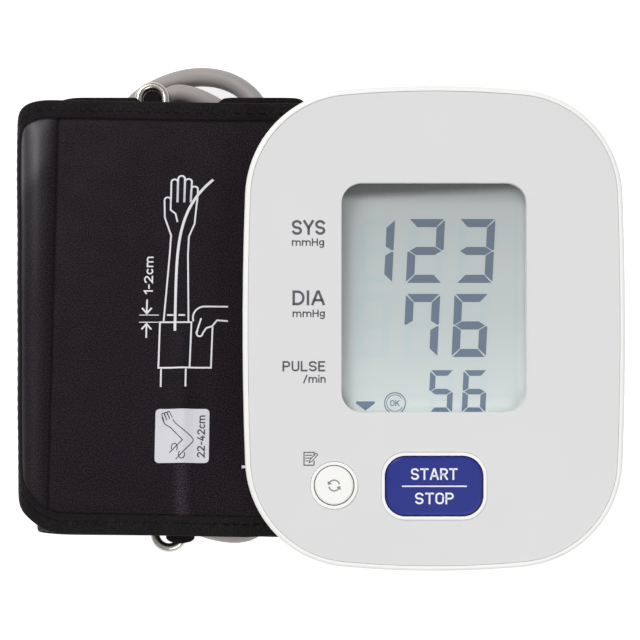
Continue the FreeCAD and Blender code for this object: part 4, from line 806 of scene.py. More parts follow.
class CUFF_OT_trim(bpy.types.Operator):
    """Makes the binding tape, the stitches, the ring's tab and the cloth ends beside it"""
    bl_idname = "monitor.cuff_trim"
    bl_label = "Cuff Binding and Stitches"

    def execute(self, context):
        sizes = context.scene.cuff_sizes
        tape = woven("binding_tape", sizes.tape, 0.75, pitch=0.5, depth=0.04, sparkle=1.35, sheen=0.1)[0]
        thread = moulded("black_thread", (0.004, 0.0035, 0.004), 0.8, grain=0.2, depth=0.03, mottle=0.2,
                         Specular_IOR_Level=0.1)
        self.binding(sizes, tape)
        add_piece("cuff_stitches", *self.stitches(sizes), thread, "cuff", "binding")
        add_piece("ring_loop_tab", *self.tab(), tape, "cuff", "nylon", "ring_tab")
        ends = joined([strap_end(*end) for end in STRAP_ENDS])
        add_piece("cuff_strap_ends", *ends, tape, "cuff", "nylon")
        return {"FINISHED"}

    def binding(self, sizes, tape):
        """The tape as one tube, its UV map in the distance along it and round it."""
        flat, lift, angle = tape_rings(sizes.tape_width)
        points, faces = tube(band_point(flat[..., 0], flat[..., 1], lift, sizes.wrinkle))
        travel = travelled(flat[:, 0])[:, None]
        round_it = (angle * sizes.tape_width / math.pi)[None, :]
        uv = np.stack(np.broadcast_arrays(travel, round_it), axis=-1).reshape(-1, 2)
        add_piece("cuff_binding", points, faces, tape, "cuff", "binding", "edge_binding", uv)

    def stitches(self, sizes):
        """Capsules in a row: each an ellipsoid from two angles, laid between neighbouring points of a row on
        the outer turn of the tape and down the flap's stitch line."""
        outline = flap_edge(STITCH_ROW * sizes.tape_width, STITCH_ROW_STEPS)
        outline = outline[outline[:, 0] < (RUN_ENDS[2] + RUN_ENDS[3]) / 2]
        travel = travelled(outline)
        marks = np.arange(STITCH_ROW_START, travel[-1], sizes.stitch_pitch)
        tape_row, tape_ahead = [line_at(marks + step, travel, outline) for step in (0, 1)]
        reach = HALF_WIDTH - sizes.tape_width - LINE_MARGIN
        line = np.arange(-reach, reach, sizes.stitch_pitch)
        line_row = np.stack([np.full_like(line, top_distance(STITCH_LINE_X)), line], axis=-1)
        starts = np.concatenate([tape_row, line_row])
        ends = np.concatenate([tape_ahead, line_row + [0, 1]])
        tape_lift = TAPE_HALF_THICK + STITCH_RISE
        lift = np.concatenate([np.full(len(tape_row), tape_lift), np.full(len(line_row), LINE_LIFT)])
        first = band_point(*starts.T, lift, sizes.wrinkle)
        heading = unit(band_point(*ends.T, lift, sizes.wrinkle) - first)
        upward = unit(band_point(*starts.T, lift + 1, sizes.wrinkle) - first)
        aside = np.cross(heading, upward)
        polar = np.linspace(STITCH_POLE, math.pi - STITCH_POLE, STITCH_RINGS)
        around = np.linspace(0, 2 * math.pi, STITCH_SIDES, endpoint=False)
        polar, around = np.meshgrid(polar, around, indexing="ij")
        shape = (np.cos(polar), np.sin(polar) * np.cos(around), np.sin(polar) * np.sin(around))
        points = first[:, None]
        for half, part, axis in zip(STITCH_HALF, shape, (heading, aside, upward)):
            points = points + axis[:, None] * (half * part).ravel()[None, :, None]
        one = tube(np.zeros((STITCH_RINGS, STITCH_SIDES, 3)))[1]
        offsets = np.arange(len(first))[:, None, None] * STITCH_RINGS * STITCH_SIDES
        return points.reshape(-1, 3), (one[None] + offsets).reshape(-1, 4)

    def tab(self):
        """A strip of cloth round the ring's bar: a straight run from the band's end, then most of a turn
        about the bar's axis, carried along the bar."""
        rows, columns = TAB_GRID
        across = np.linspace(-TAB_HALF_WIDTH, TAB_HALF_WIDTH, columns)[None, :]
        bar_x = RING_MIDDLE - RING_HALF_SPAN / math.cos(RING_SKEW) - across * math.tan(RING_SKEW)
        share = np.linspace(0, 1, rows)[:, None]
        run = np.clip(share / TAB_RUN, 0, 1)
        straight = (BAND_END + TAB_OVERLAP) * (1 - run) + bar_x * run
        angle = math.pi / 2 - np.clip((share - TAB_RUN) / (1 - TAB_RUN), 0, 1) * TAB_TURN
        layers = []
        for radius in TAB_RADII:
            x = np.where(share < TAB_RUN, straight, bar_x + radius * np.cos(angle))
            z = RING_LEVEL + radius * np.sin(angle) + TAB_RIPPLE * np.sin(across / TAB_RIPPLE_LENGTH)
            layers.append(np.stack(np.broadcast_arrays(x, across, z), axis=-1) + CUFF_ORIGIN)
        points, faces = slab(*layers)
        return points, faces[:, ::-1]


# Air hose: control points of its flat coil in the roll's own frame, from the fitting to the plug
HOSE_POINTS = (
    (-10.2, -46.0, 8.5), (-10.2, -30.0, 8.5), (-10.4, 16.0, 8.5), (-15.2, 64.4, 8.5), (4.0, 78.6, 5.2),
    (22.5, 77.9, 5.2), (34.6, 63.4, 8.5), (31.0, 16.0, 8.5), (30.9, -20.0, 8.5), (35.2, -58.8, 8.5),
    (29.4, -68.3, 8.5), (12.0, -65.2, 8.5), (-2.5, -54.0, 8.5), (-3.6, -24.0, 8.5), (-3.6, 16.0, 8.5),
    (-4.2, 58.6, 8.7), (1.6, 71.3, 9.9), (11.0, 70.5, 9.9), (25.2, 61.8, 9.0), (21.5, 32.0, 8.6),
    (20.4, -12.0, 8.5), (20.4, -26.0, 8.5),
)


class HOSE_OT_hose(bpy.types.Operator):
    """Makes the air hose as one smooth curve, and dresses its plug"""
    bl_idname = "monitor.hose"
    bl_label = "Air Hose"

    def execute(self, context):
        sizes = context.scene.hose_sizes
        points = (np.array(HOSE_POINTS) + CUFF_ORIGIN) * MM
        curve = bpy.data.curves.new("hose_tube", "CURVE")
        curve.dimensions = "3D"
        curve.bevel_depth = sizes.radius
        curve.bevel_resolution = 6
        curve.use_fill_caps = True
        spline = curve.splines.new("NURBS")
        spline.points.add(len(points) - 1)
        weights = np.ones((len(points), 1))
        spline.points.foreach_set("co", np.hstack([points, weights]).astype(np.float32).ravel())
        spline.order_u = 3
        spline.use_endpoint_u = True
        spline.resolution_u = 8
        curve.materials.append(moulded("hose_rubber", sizes.colour, 0.5, grain=0.8, depth=0.01, mottle=0.06,
                                       Specular_IOR_Level=0.4))
        hose = take_place(link_object("hose_tube", curve), "cuff", "air_hose")
        dress(moulded("plug_plastic", shade(sizes.colour, 0.8), 0.4), "air_plug")
        return {"FINISHED"}


# Prints: lines and words as thin pieces on the face or on the cuff's top
FILL_RINGS = 8
FILL_HOLE = 0.02
MITRE_LIMIT = 0.4


def stroke(points, width):
    """A line of a width through points in a plane, as its left and right edges along the mitred normals."""
    ahead = unit(np.diff(points, axis=0))
    before = np.concatenate([ahead[:1], ahead])
    after = np.concatenate([ahead, ahead[-1:]])
    heading = unit(before + after)
    spread = 1 / np.maximum(np.sum(heading * before, axis=-1, keepdims=True), MITRE_LIMIT)
    aside = np.stack([-heading[:, 1], heading[:, 0]], axis=-1) * spread * width / 2
    points = points.copy()
    points[0] -= ahead[0] * width / 2
    points[-1] += ahead[-1] * width / 2
    return np.stack([points + aside, points - aside], axis=1)


def arc(middle, radius, first, last, count=24):
    """Points of an arc in a plane, by angles in degrees."""
    angle = np.radians(np.linspace(first, last, count))
    return np.asarray(middle) + np.stack([np.cos(angle), np.sin(angle)], axis=-1) * radius


def rounded_box(middle, half, corner, count=8):
    """Points round a box with rounded corners, closed."""
    x, y = half[0] - corner, half[1] - corner
    arcs = [arc((middle[0] + x * right, middle[1] + y * up), corner, first, first + 90, count)
            for right, up, first in ((1, 1, 0), (-1, 1, 90), (-1, -1, 180), (1, -1, 270))]
    loop = np.concatenate(arcs)
    return np.concatenate([loop, loop[:1]])


def resampled(points, step):
    """A line's points at even steps, so that it can follow a curved surface, with no point twice."""
    points = np.asarray(points, float)
    travel = travelled(points)
    marks = np.unique(np.round(np.concatenate([travel, np.arange(0, travel[-1], step)]), 4))
    return line_at(marks, travel, points)


def path(*pieces):
    """One line through points and arcs in turn."""
    return np.concatenate([np.atleast_2d(piece) for piece in pieces])


# Letters as centre lines on a capital's height of 1: a width, then the strokes
LETTER_GAP = 0.27
P_LINE = path((0, 0), (0, 1), arc((0.28, 0.74), (0.26, 0.26), 90, -90), (0, 0.48))
S_TOP = arc((0.28, 0.745), (0.28, 0.255), 25, 270)
S_FOOT = arc((0.28, 0.245), (0.28, 0.245), 90, -155)
LETTERS = {
    "A": (0.64, [(0, 0), (0.28, 1), (0.36, 1), (0.64, 0)], [(0.11, 0.31), (0.53, 0.31)]),
    "D": (0.56, path((0, 0), (0, 1), arc((0.22, 0.5), (0.34, 0.5), 90, -90), (0, 0))),
    "E": (0.46, [(0.46, 1), (0, 1), (0, 0), (0.46, 0)], [(0, 0.52), (0.4, 0.52)]),
    "H": (0.56, [(0, 0), (0, 1)], [(0.56, 0), (0.56, 1)], [(0, 0.52), (0.56, 0.52)]),
    "I": (0.0, [(0, 0), (0, 1)]),
    "K": (0.54, [(0, 0), (0, 1)], [(0.5, 1), (0.03, 0.42)], [(0.17, 0.58), (0.54, 0)]),
    "L": (0.45, [(0, 1), (0, 0), (0.45, 0)]),
    "O": (0.56, rounded_box((0.28, 0.5), (0.28, 0.5), 0.27)),
    "P": (0.54, P_LINE),
    "R": (0.54, P_LINE, [(0.26, 0.48), (0.54, 0)]),
    "S": (0.56, path(S_TOP, S_FOOT)),
    "T": (0.58, [(0, 1), (0.58, 1)], [(0.29, 1), (0.29, 0)]),
    "U": (0.54, path((0, 1), arc((0.27, 0.28), (0.27, 0.28), 180, 360), (0.54, 1))),
    "Y": (0.6, [(0, 1), (0.3, 0.46), (0.6, 1)], [(0.3, 0.46), (0.3, 0)]),
    "c": (0.44, arc((0.24, 0.35), (0.24, 0.35), 50, 310)),
    "g": (0.44, rounded_box((0.22, 0.4), (0.22, 0.3), 0.2),
          path((0.44, 0.7), arc((0.22, -0.12), (0.22, 0.2), 0, -140))),
    "i": (0.0, [(0, 0), (0, 0.62)], [(0, 0.98), (0, 1.02)]),
    "m": (0.88, [(0, 0), (0, 0.7)], path(arc((0.22, 0.48), (0.22, 0.22), 180, 0), (0.44, 0)),
          path(arc((0.66, 0.48), (0.22, 0.22), 180, 0), (0.88, 0))),
    "n": (0.46, [(0, 0), (0, 0.7)], path(arc((0.23, 0.47), (0.23, 0.23), 180, 0), (0.46, 0))),
    "1": (0.24, [(0, 0.78), (0.24, 1), (0.24, 0)]),
    "2": (0.56, path(arc((0.27, 0.73), (0.27, 0.27), 160, -30), (0, 0), (0.56, 0))),
    "4": (0.56, [(0.32, 1), (0, 0.24), (0.56, 0.24)], [(0.4, 0.52), (0.4, 0)]),
    "-": (0.3, [(0, 0.42), (0.3, 0.42)]),
    "/": (0.36, [(0, -0.12), (0.36, 1.05)]),
}


class Print:
    """Flat marks gathered in a plane, then laid on a surface as one thin piece."""

    def __init__(self):
        self.points = []
        self.faces = []
        self.count = 0

    def add(self, points, faces):
        """Points in rows, and faces by their numbers."""
        self.faces += (faces + self.count).tolist()
        self.points.append(points)
        self.count += len(points)

    def line(self, points, width, step=1.0):
        """A line of a width through points."""
        ribbon = stroke(resampled(points, step), width)
        self.add(ribbon.reshape(-1, 2), grid_faces(len(ribbon), 2))

    def fill(self, outline, step=1.0):
        """A filled outline that its middle sees whole, as rings drawn in to the middle."""
        outline = resampled(np.concatenate([outline, outline[:1]]), step)[:-1]
        ahead = np.roll(outline, -1, axis=0)
        if np.sum(outline[:, 0] * ahead[:, 1] - outline[:, 1] * ahead[:, 0]) < 0:
            outline = outline[::-1]
        middle = outline.mean(0)
        share = np.linspace(1, FILL_HOLE, FILL_RINGS)[:, None, None]
        rings = middle + (outline - middle) * share
        corners = len(outline)
        cap = self.count + (FILL_RINGS - 1) * corners + np.arange(corners)
        self.add(rings.reshape(-1, 2), grid_faces(FILL_RINGS, corners, wrap=True))
        self.faces.append(cap.tolist())

    def word(self, text, middle, height, width, weight, turn=0.0):
        """A word with capitals of a height, drawn to a width with strokes of a weight, turned in degrees."""
        lines = []
        end = 0.0
        for letter in text:
            wide, *strokes = LETTERS[letter]
            lines += [np.asarray(line) + (end, 0) for line in strokes]
            end += wide + LETTER_GAP
        wide = end - LETTER_GAP
        scale = np.array([(width - weight) / wide, height - weight])
        angle = math.radians(turn)
        cosine, sine = math.cos(angle), math.sin(angle)
        turned = np.array([[cosine, sine], [-sine, cosine]])
        for line in lines:
            flat = (line - (wide / 2, 0.5)) * scale
            self.line(flat @ turned + middle, weight)

    def lay(self, name, surface, material, body, slot):
        """Lays the marks on a surface, a function of the plane's points, as one piece."""
        points = surface(np.concatenate(self.points))
        return add_piece(name, points, self.faces, material, body, slot, smooth=False)


def on_face(level):
    """A surface over the face at a level in front of the rim."""
    def place(points):
        flat = np.concatenate([points, np.full((len(points), 1), level)], axis=1)
        return FACE_ORIGIN + flat @ FACE_AXES
    return place


def on_cuff(lift, wrinkle):
    """A surface over the top layer of the cuff, with the layer's own slip taken out."""
    def place(points):
        along = top_distance(points[:, 0])
        across = (points[:, 1] - np.interp(along, SLIP_MARKS, SLIPS)) / WIDTH_STRETCH
        return band_point(along, across, HALF_BAND + lift, wrinkle)
    return place


# Prints on the cuff, in the roll's own X and Y: line widths, heights over the cloth and the label's box
GUIDE_LINE = 0.5
GUIDE_HOSE_LINE = 0.8
GUIDE_LIFT = 0.06
MEASURE_LINE = 0.25
MEASURE_X = -1.6
MEASURE_SHAFT = 4.0
MEASURE_BARB = (1.3, 1.5)
FINGER_HALF = 0.95
FINGER_ROOT = 31.6
LABEL_BOX = ((9.6, -39.95), (7.95, 8.0), 1.2)
LABEL_LIFT = 0.08
LABEL_LINE = 0.26
LABEL_INK_LIFT = 0.13


class CUFF_OT_print(bpy.types.Operator):
    """Prints the placing guide and the size label on the cuff's top"""
    bl_idname = "monitor.cuff_print"
    bl_label = "Cuff Prints"

    def execute(self, context):
        wrinkle = context.scene.cuff_sizes.wrinkle
        white = moulded("white_ink", (0.70, 0.70, 0.73), 0.6, grain=0.4, depth=0.02, mottle=0.05)
        film = moulded("label_film", (0.60, 0.60, 0.64), 0.5, grain=0.4, depth=0.01, mottle=0.03)
        grey = moulded("grey_ink", (0.035, 0.035, 0.042), 0.6, grain=0.4, depth=0.01, mottle=0.05)
        guide, label, marks = Print(), Print(), Print()
        self.arm(guide)
        self.measure(guide)
        label.fill(rounded_box(*LABEL_BOX)[:-1])
        self.size_marks(marks)
        guide.lay("cuff_guide_print", on_cuff(GUIDE_LIFT, wrinkle), white, "cuff", "nylon")
        label.lay("cuff_size_label", on_cuff(LABEL_LIFT, wrinkle), film, "cuff", "nylon")
        marks.lay("cuff_label_print", on_cuff(LABEL_INK_LIFT, wrinkle), grey, "cuff", "nylon")
        return {"FINISHED"}

    def arm(self, guide):
        """A plain open hand and arm through a band drawn as a box, with the hose along the arm and another
        hand at the band's edge."""
        for x, top in ((5.9, 37.7), (7.9, 38.8), (9.9, 37.8), (11.7, 35.4)):
            tip = arc((x, top), FINGER_HALF, 180, 0, 12)
            root, end = [(x + way * FINGER_HALF, FINGER_ROOT) for way in (-1, 1)]
            guide.line(path(root, tip, end), GUIDE_LINE)
        share = np.linspace(0, 1, 40)
        guide.line(np.stack([6.9 + 9.4 * share ** 4.6, -8.0 + 46.2 * share], axis=-1), GUIDE_HOSE_LINE)
        thumb_tip = arc((3.95, 32.0), FINGER_HALF, 180, 0, 12)
        other_thumb = arc((14.3, -9.2), 0.9, 150, 360, 10)
        for line in (
            path((5.2, 21.0), (3.2, 26.6), (3.0, 32.0), thumb_tip, (4.9, 29.0), (6.4, 27.8), (7.0, 25.4)),
            [(12.6, 31.6), (12.2, 24.6), (10.6, 20.6), (10.4, 15.0), (10.9, -5.6)],
            [(5.2, 21.0), (4.9, 15.0), (3.5, -5.2)],
            [(2.4, -5.8), (11.8, -5.8), (11.5, -19.6), (2.2, -19.6), (2.4, -5.8)],
            [(11.5, -19.6), (17.8, -19.6), (18.1, -7.4)],
            path((22.4, -1.0), arc((15.6, -4.4), 3.4, 90, 195, 12)),
            path((14.6, -4.8), (13.4, -8.8), other_thumb, (16.2, -7.6), (18.0, -7.0), (19.4, -5.2),
                 (22.4, -5.4)),
            [(3.0, -20.2), (3.0, -25.1)],
            [(10.4, -20.2), (10.4, -25.1)],
            [(4.7, -3.6), (6.2, -3.6)],
            [(8.1, -3.6), (9.6, -3.6)],
        ):
            guide.line(line, GUIDE_LINE)

    def measure(self, guide):
        """Two lines with arrows that close on the gap between the band and the elbow, and its size."""
        x = MEASURE_X
        aside, back = MEASURE_BARB
        for y in (-3.6, -5.8):
            guide.line([(-3.7, y), (1.9, y)], MEASURE_LINE)
        for tip, way in ((-3.1, 1), (-6.3, -1)):
            barb = tip + back * way
            guide.line([(x, tip), (x, tip + MEASURE_SHAFT * way)], GUIDE_LINE)
            guide.line([(x - aside, barb), (x, tip), (x + aside, barb)], GUIDE_LINE)
        guide.word("1-2cm", (-1.3, 8.6), height=2.7, width=11.6, weight=0.44, turn=90)
        guide.line([(27.6, -49.0), (28.8, -49.0)], GUIDE_HOSE_LINE)

    def size_marks(self, marks):
        """A bent arm with a band round its upper half, and the range of arm sizes."""
        for x in (0.0, 0.8, 1.6):
            tip = arc((3.9 + x, -33.6 + x / 3), 0.4, 180, 0, 8)
            marks.line(path((4.2 + x, -35.6 + x / 2), tip, (5.0 + x, -35.2 + x / 2)), LABEL_LINE)
        elbow = arc((11.9, -41.2), 1.0, 60, -45, 8)
        for line in (
            [(3.6, -34.6), (4.4, -36.4), (6.3, -37.6), (9.8, -41.2), (6.1, -44.8)],
            path((6.9, -35.2), (7.6, -36.2), (12.2, -40.0), elbow, (8.0, -46.8)),
            arc((7.4, -43.4), (0.9, 1.2), -40, 200, 16),
            arc((9.6, -45.4), (0.9, 1.2), 140, 380, 16),
        ):
            marks.line(line, LABEL_LINE)
        marks.word("22-42cm", (15.2, -40.1), height=2.3, width=12.4, weight=0.36, turn=90)


# Words on the panel and on the start key: text, middle, height, width and weight of the strokes
PANEL_WORDS = (
    ("SYS", (-35.03, 28.18), 4.15, 9.35, 0.70),
    ("mmHg", (-35.19, 24.07), 2.1, 9.0, 0.37),
    ("DIA", (-35.0, 8.53), 4.15, 9.05, 0.70),
    ("mmHg", (-35.0, 4.19), 2.1, 9.0, 0.37),
    ("PULSE", (-36.37, -10.57), 2.9, 11.9, 0.49),
    ("/min", (-33.4, -14.1), 2.15, 6.3, 0.39),
)
KEY_WORDS = (("START", (0.0, -40.6), 3.25, 13.0, 0.5), ("STOP", (0.05, -47.4), 3.25, 10.8, 0.5))
KEY_RULE = ((-8.8, -44.0), (8.9, -44.0))
KEY_RULE_WIDTH = 0.38
PANEL_INK_LEVEL = -0.12
KEY_INK_LEVEL = 0.53
SIGN_MIDDLE = np.array([-27.9, -43.8])
SIGN_RADIUS = 1.5
SIGN_SWEEP = 125
SIGN_LINE = 0.4
ARROW_LENGTH = 0.9
ARROW_HALF = 0.75
NOTE_LINE = 0.3
NOTE_RULE_LINE = 0.26
PENCIL_LINE = 0.24


class FACE_OT_print(bpy.types.Operator):
    """Prints the words and signs on the panel and on both keys"""
    bl_idname = "monitor.face_print"
    bl_label = "Face Prints"

    def execute(self, context):
        lettering = context.scene.monitor_colours.lettering
        grey = moulded("panel_ink", lettering, 0.5, grain=0.3, depth=0.004, mottle=0.04)
        white = moulded("key_ink", (0.80, 0.81, 0.84), 0.45, grain=0.3, depth=0.004, mottle=0.02)
        pale = moulded("sign_ink", (0.26, 0.255, 0.27), 0.5, grain=0.3, depth=0.004, mottle=0.04)
        panel, key, sign = Print(), Print(), Print()
        for word in PANEL_WORDS:
            panel.word(*word)
        self.note(panel)
        for word in KEY_WORDS:
            key.word(*word)
        key.line(KEY_RULE, KEY_RULE_WIDTH)
        self.pairing(sign)
        panel.lay("face_words", on_face(PANEL_INK_LEVEL), grey, "monitor", "panel_grey")
        key.lay("start_words", on_face(KEY_INK_LEVEL), white, "start_button", "key_blue")
        sign.lay("pairing_sign", on_face(KEY_INK_LEVEL), pale, "sync_button", "white_plastic")
        return {"FINISHED"}

    def note(self, panel):
        """A note sheet with a pencil across its corner."""
        left, right, low, high = -36.3, -33.5, -38.2, -34.6
        sheet = [(right, -35.4), (right, high), (left, high), (left, low), (right, low), (right, -37.1)]
        panel.line(sheet, NOTE_LINE)
        for y, end in ((-35.4, -34.1), (-36.2, -34.5), (-37.0, -35.2)):
            panel.line([(-35.8, y), (end, y)], NOTE_RULE_LINE)
        tip = (-34.9, -37.5)
        pencil = [tip, (-34.6, -36.6), (-32.9, -34.8), (-32.5, -35.3), (-34.1, -37.1), tip]
        panel.line(pencil, PENCIL_LINE)

    def pairing(self, sign):
        """Two arrows that chase each other round a circle."""
        for first in (20, 200):
            last = first + SIGN_SWEEP
            sweep = arc(SIGN_MIDDLE, SIGN_RADIUS, first, last)
            sign.line(sweep, SIGN_LINE)
            heading = math.radians(last + 90)
            ahead = np.array([math.cos(heading), math.sin(heading)])
            aside = np.array([-ahead[1], ahead[0]]) * ARROW_HALF
            end = sweep[-1]
            sign.fill([end + ahead * ARROW_LENGTH, end + aside, end - aside])


# Display segments: a digit is seven strokes of a slanted eight
SEGMENTS = {" ": "", "1": "bc", "2": "abged", "3": "abgcd", "5": "afgcd", "6": "afgedc", "7": "fabc"}
SEGMENT_GAP = 0.16
SEGMENT_POINT = 0.2
DIGIT_SLANT = math.tan(math.radians(2.8))
SEGMENT_LIFT = 0.02
FAINT_LIFT = 0.012
FAINT_TINT = (0.94, 0.985, 1.01)

# Rows of the display: digits, their middles across, top, bottom, width of a digit and of its strokes
ROWS = (
    ("123", (-16.2, -2.1, 12.1), 30.8, 12.8, 10.2, 2.3),
    (" 76", (-16.9, -3.2, 10.5), 9.7, -8.1, 9.7, 2.3),
    ("56", (2.3, 11.7), -11.8, -23.9, 6.7, 1.6),
)

# Small signs of the display: a pointer's outline, and two rings (radius, both angles, width) round a word
POINTER = ((-21.7, -20.6), (-16.4, -20.6), (-16.4, -21.2), (-19.05, -23.2), (-21.7, -21.2))
FIT_MIDDLE = (-10.7, -21.1)
FIT_RINGS = ((2.95, -60, 300, 0.3), (2.35, 40, 330, 0.22))
FIT_WORD = ("OK", (-10.75, -21.1), 1.7, 2.7, 0.3)

# Painted light and shade of the display's ground, up the face and across it: start, end, and factors at both
PAINTED_LIGHT_AND_SHADE_UP = ((-24, 12, 1.2, 0.96), (10, 36, 1, 0.84), (-25.5, -18.5, 1.8, 1))
PAINTED_LIGHT_RIGHT = (23.2, 26, 1, 1.4)
PAINTED_TOP_SHADOW = (36.6, 39.8, 1, 0.18)
TOP_SHADOW_SLANT = -0.045
LEFT_SHADOW = (-25.5, -15.0, 0.2, 0)
LEFT_SHADOW_UP = (-25, 36, 0.3, 1)
TOP_SHADOW_WAVER = 0.4
WAVER_SIZE = 1.5


def segment_shapes(width, height, thick):
    """The seven strokes of a digit about its middle: bars whose ends are cut on the slant, with thin gaps."""
    gap = SEGMENT_GAP
    x, y = width / 2, height / 2
    inset = x - thick - gap
    shapes = {}
    for letter, way in (("a", 1), ("d", -1)):
        level, inner = way * y, way * (y - thick)
        shapes[letter] = [(-x + gap * 2, level), (x - gap * 2, level), (inset, inner), (-inset, inner)]
    half = thick / 2
    point = SEGMENT_POINT * thick
    tip = x - point - gap
    shapes["g"] = [(-tip, 0), (-inset, half), (inset, half), (tip, 0), (inset, -half), (-inset, -half)]
    for letter, side, way in (("b", 1, 1), ("c", 1, -1), ("e", -1, -1), ("f", -1, 1)):
        outer, inner = side * x, side * (x - thick)
        shapes[letter] = [
            (outer, way * (y - gap * 2)), (outer, way * gap * 2), (outer - side * point, way * gap),
            (inner, way * (half + gap)), (inner, way * (y - thick - gap)),
        ]
    return shapes


def display_ground(name, colour):
    """Display glass with painted light and shade: painted paler down the face, at its bottom edge and to the
    right, and darker towards the top, under a painted shadow along its top edge, deeper at the left, that
    goes on faintly down its left edge."""
    material, tree, shader = shader_of(name, colour, roughness=0.3, Specular_IOR_Level=0.3)
    away = vector_node(tree, "SUBTRACT", {0: coordinates(tree, "Object"), 1: FACE_ORIGIN * MM})
    across, up = [vector_node(tree, "DOT_PRODUCT", {0: away, 1: axis}, "Value") for axis in FACE_AXES[:2]]
    # Painted shadow of the window's top wall: a dark band along the top edge, wavering and slanting deeper to
    # the left
    waver = math_node(tree, "MULTIPLY", noise(tree, WAVER_SIZE), TOP_SHADOW_WAVER * MM)
    up = math_node(tree, "ADD", up, waver)
    top_shadow_place = math_node(tree, "ADD", up, math_node(tree, "MULTIPLY", across, TOP_SHADOW_SLANT))
    shadow = math_node(tree, "MULTIPLY", fade(tree, across, *LEFT_SHADOW), fade(tree, up, *LEFT_SHADOW_UP))
    factor = math_node(tree, "SUBTRACT", 1, shadow)
    # Painted light towards the bottom and the right edge, and painted shade towards the top
    changes = [(up, change) for change in PAINTED_LIGHT_AND_SHADE_UP] + [(top_shadow_place, PAINTED_TOP_SHADOW), (across, PAINTED_LIGHT_RIGHT)]
    for place, change in changes:
        factor = math_node(tree, "MULTIPLY", factor, fade(tree, place, *change))
    scale_colour(tree, shader, colour, factor)
    return material


class FACE_OT_display(bpy.types.Operator):
    """Draws the display's dark segments, its faint unlit ones and its small signs"""
    bl_idname = "monitor.display"
    bl_label = "Display"

    def execute(self, context):
        colours = context.scene.monitor_colours
        # Both segment materials carry the display ground's painted light and shade
        dark = display_ground("dark_segments", colours.segment)
        pale = [part * tint for part, tint in zip(colours.display, FAINT_TINT)]
        faint = display_ground("faint_segments", pale)
        lit, unlit = Print(), Print()
        for digits, places, top, bottom, width, thick in ROWS:
            shapes = segment_shapes(width, top - bottom, thick)
            for digit, x in zip(digits, places):
                for letter, outline in shapes.items():
                    target = lit if letter in SEGMENTS[digit] else unlit
                    target.fill(self.slanted(outline, x, (top + bottom) / 2))
        lit.fill(POINTER)
        for radius, first, last, width in FIT_RINGS:
            lit.line(arc(FIT_MIDDLE, radius, first, last, count=40), width)
        lit.word(*FIT_WORD)
        lit.lay("display_dark_segments", on_face(-LCD_DEPTH + SEGMENT_LIFT), dark, "monitor", "display")
        unlit.lay("display_faint_segments", on_face(-LCD_DEPTH + FAINT_LIFT), faint, "monitor", "display")
        return {"FINISHED"}

    def slanted(self, outline, x, y):
        """An outline of a digit leaning to the right, at its place."""
        outline = np.asarray(outline, float)
        return outline + outline[:, 1:] * [DIGIT_SLANT, 0] + [x, y]


# Plain mouldings and metals: name, colour, roughness and the nodes that have them
MOULDINGS = (
    ("black_moulding", (0.03, 0.03, 0.03), 0.5, (
        "lcd_frame", "start_plunger", "sync_plunger", "start_switch", "sync_switch", "control_chip",
        "dc_jack", "motor_endcap", "pump_head", "pressure_sensor", "hose_fitting")),
    ("board_green", (0.03, 0.16, 0.07), 0.35, ("main_board",)),
    ("pale_moulding", (0.72, 0.72, 0.69), 0.45, ("air_manifold", "air_jack")),
    ("clear_silicone", (0.78, 0.78, 0.76), 0.5, (
        "pump_tube", "jack_tube", "sensor_tube", "pump_diaphragm", "lcd_connector")),
    ("ferrite", (0.07, 0.07, 0.07), 0.6, ("magnet_ring",)),
    ("cell_sleeve", (0.10, 0.12, 0.15), 0.3, ("battery_1", "battery_2", "battery_3", "battery_4")),
)
METALS = (
    ("ring_nickel", (0.55, 0.515, 0.47), 0.24, ("d_ring",)),
    ("bright_steel", (0.62, 0.62, 0.61), 0.28, (
        "case_screws", "board_screws", "contacts_front", "contacts_back", "motor_can", "motor_rotor",
        "valve_frame", "valve_plunger", "radio_module")),
    ("copper_wire", (0.72, 0.35, 0.17), 0.4, ("valve_coil",)),
)


class CASE_OT_finishes(bpy.types.Operator):
    """Gives the casing, keys, lens, ring and every inner piece its finish"""
    bl_idname = "monitor.finishes"
    bl_label = "Casing Finishes"

    def execute(self, context):
        colours = context.scene.monitor_colours
        shell = moulded("white_shell", colours.shell, 0.38, grain=0.35, depth=0.006, mottle=0.012,
                        Specular_IOR_Level=0.45)
        panel = moulded("grey_panel", colours.panel, 0.42, grain=0.3, depth=0.004, mottle=0.01,
                        Specular_IOR_Level=0.4)
        key = moulded("blue_key", colours.key, 0.34, grain=0.3, depth=0.004, mottle=0.03,
                      Specular_IOR_Level=0.3)
        rubber = moulded("black_rubber", (0.022, 0.022, 0.022), 0.75, grain=0.4, depth=0.03)
        dress(shell, "front_cover", "rear_case", "battery_cover", "sync_button")
        dress(panel, "face_panel")
        dress(key, "start_button")
        dress(rubber, "rubber_feet", "pump_cradle")
        # The display's ground has painted light and shade
        dress(display_ground("display_ground", colours.display), "lcd_glass")
        dress(self.lens(), "display_lens")
        for finish, kinds in ((moulded, MOULDINGS), (metal, METALS)):
            for name, colour, roughness, nodes in kinds:
                dress(finish(name, colour, roughness), *nodes)
        return {"FINISHED"}

    def lens(self):
        """Clear sheet: mostly see-through, with a thin glossy face."""
        material, tree, shader = shader_of("clear_sheet", (0.9, 0.92, 0.91), roughness=0.06, Alpha=0.05)
        raise_bump(tree, shader, noise(tree, grain=30, detail=1), depth=0.002, strength=0.2)
        return material


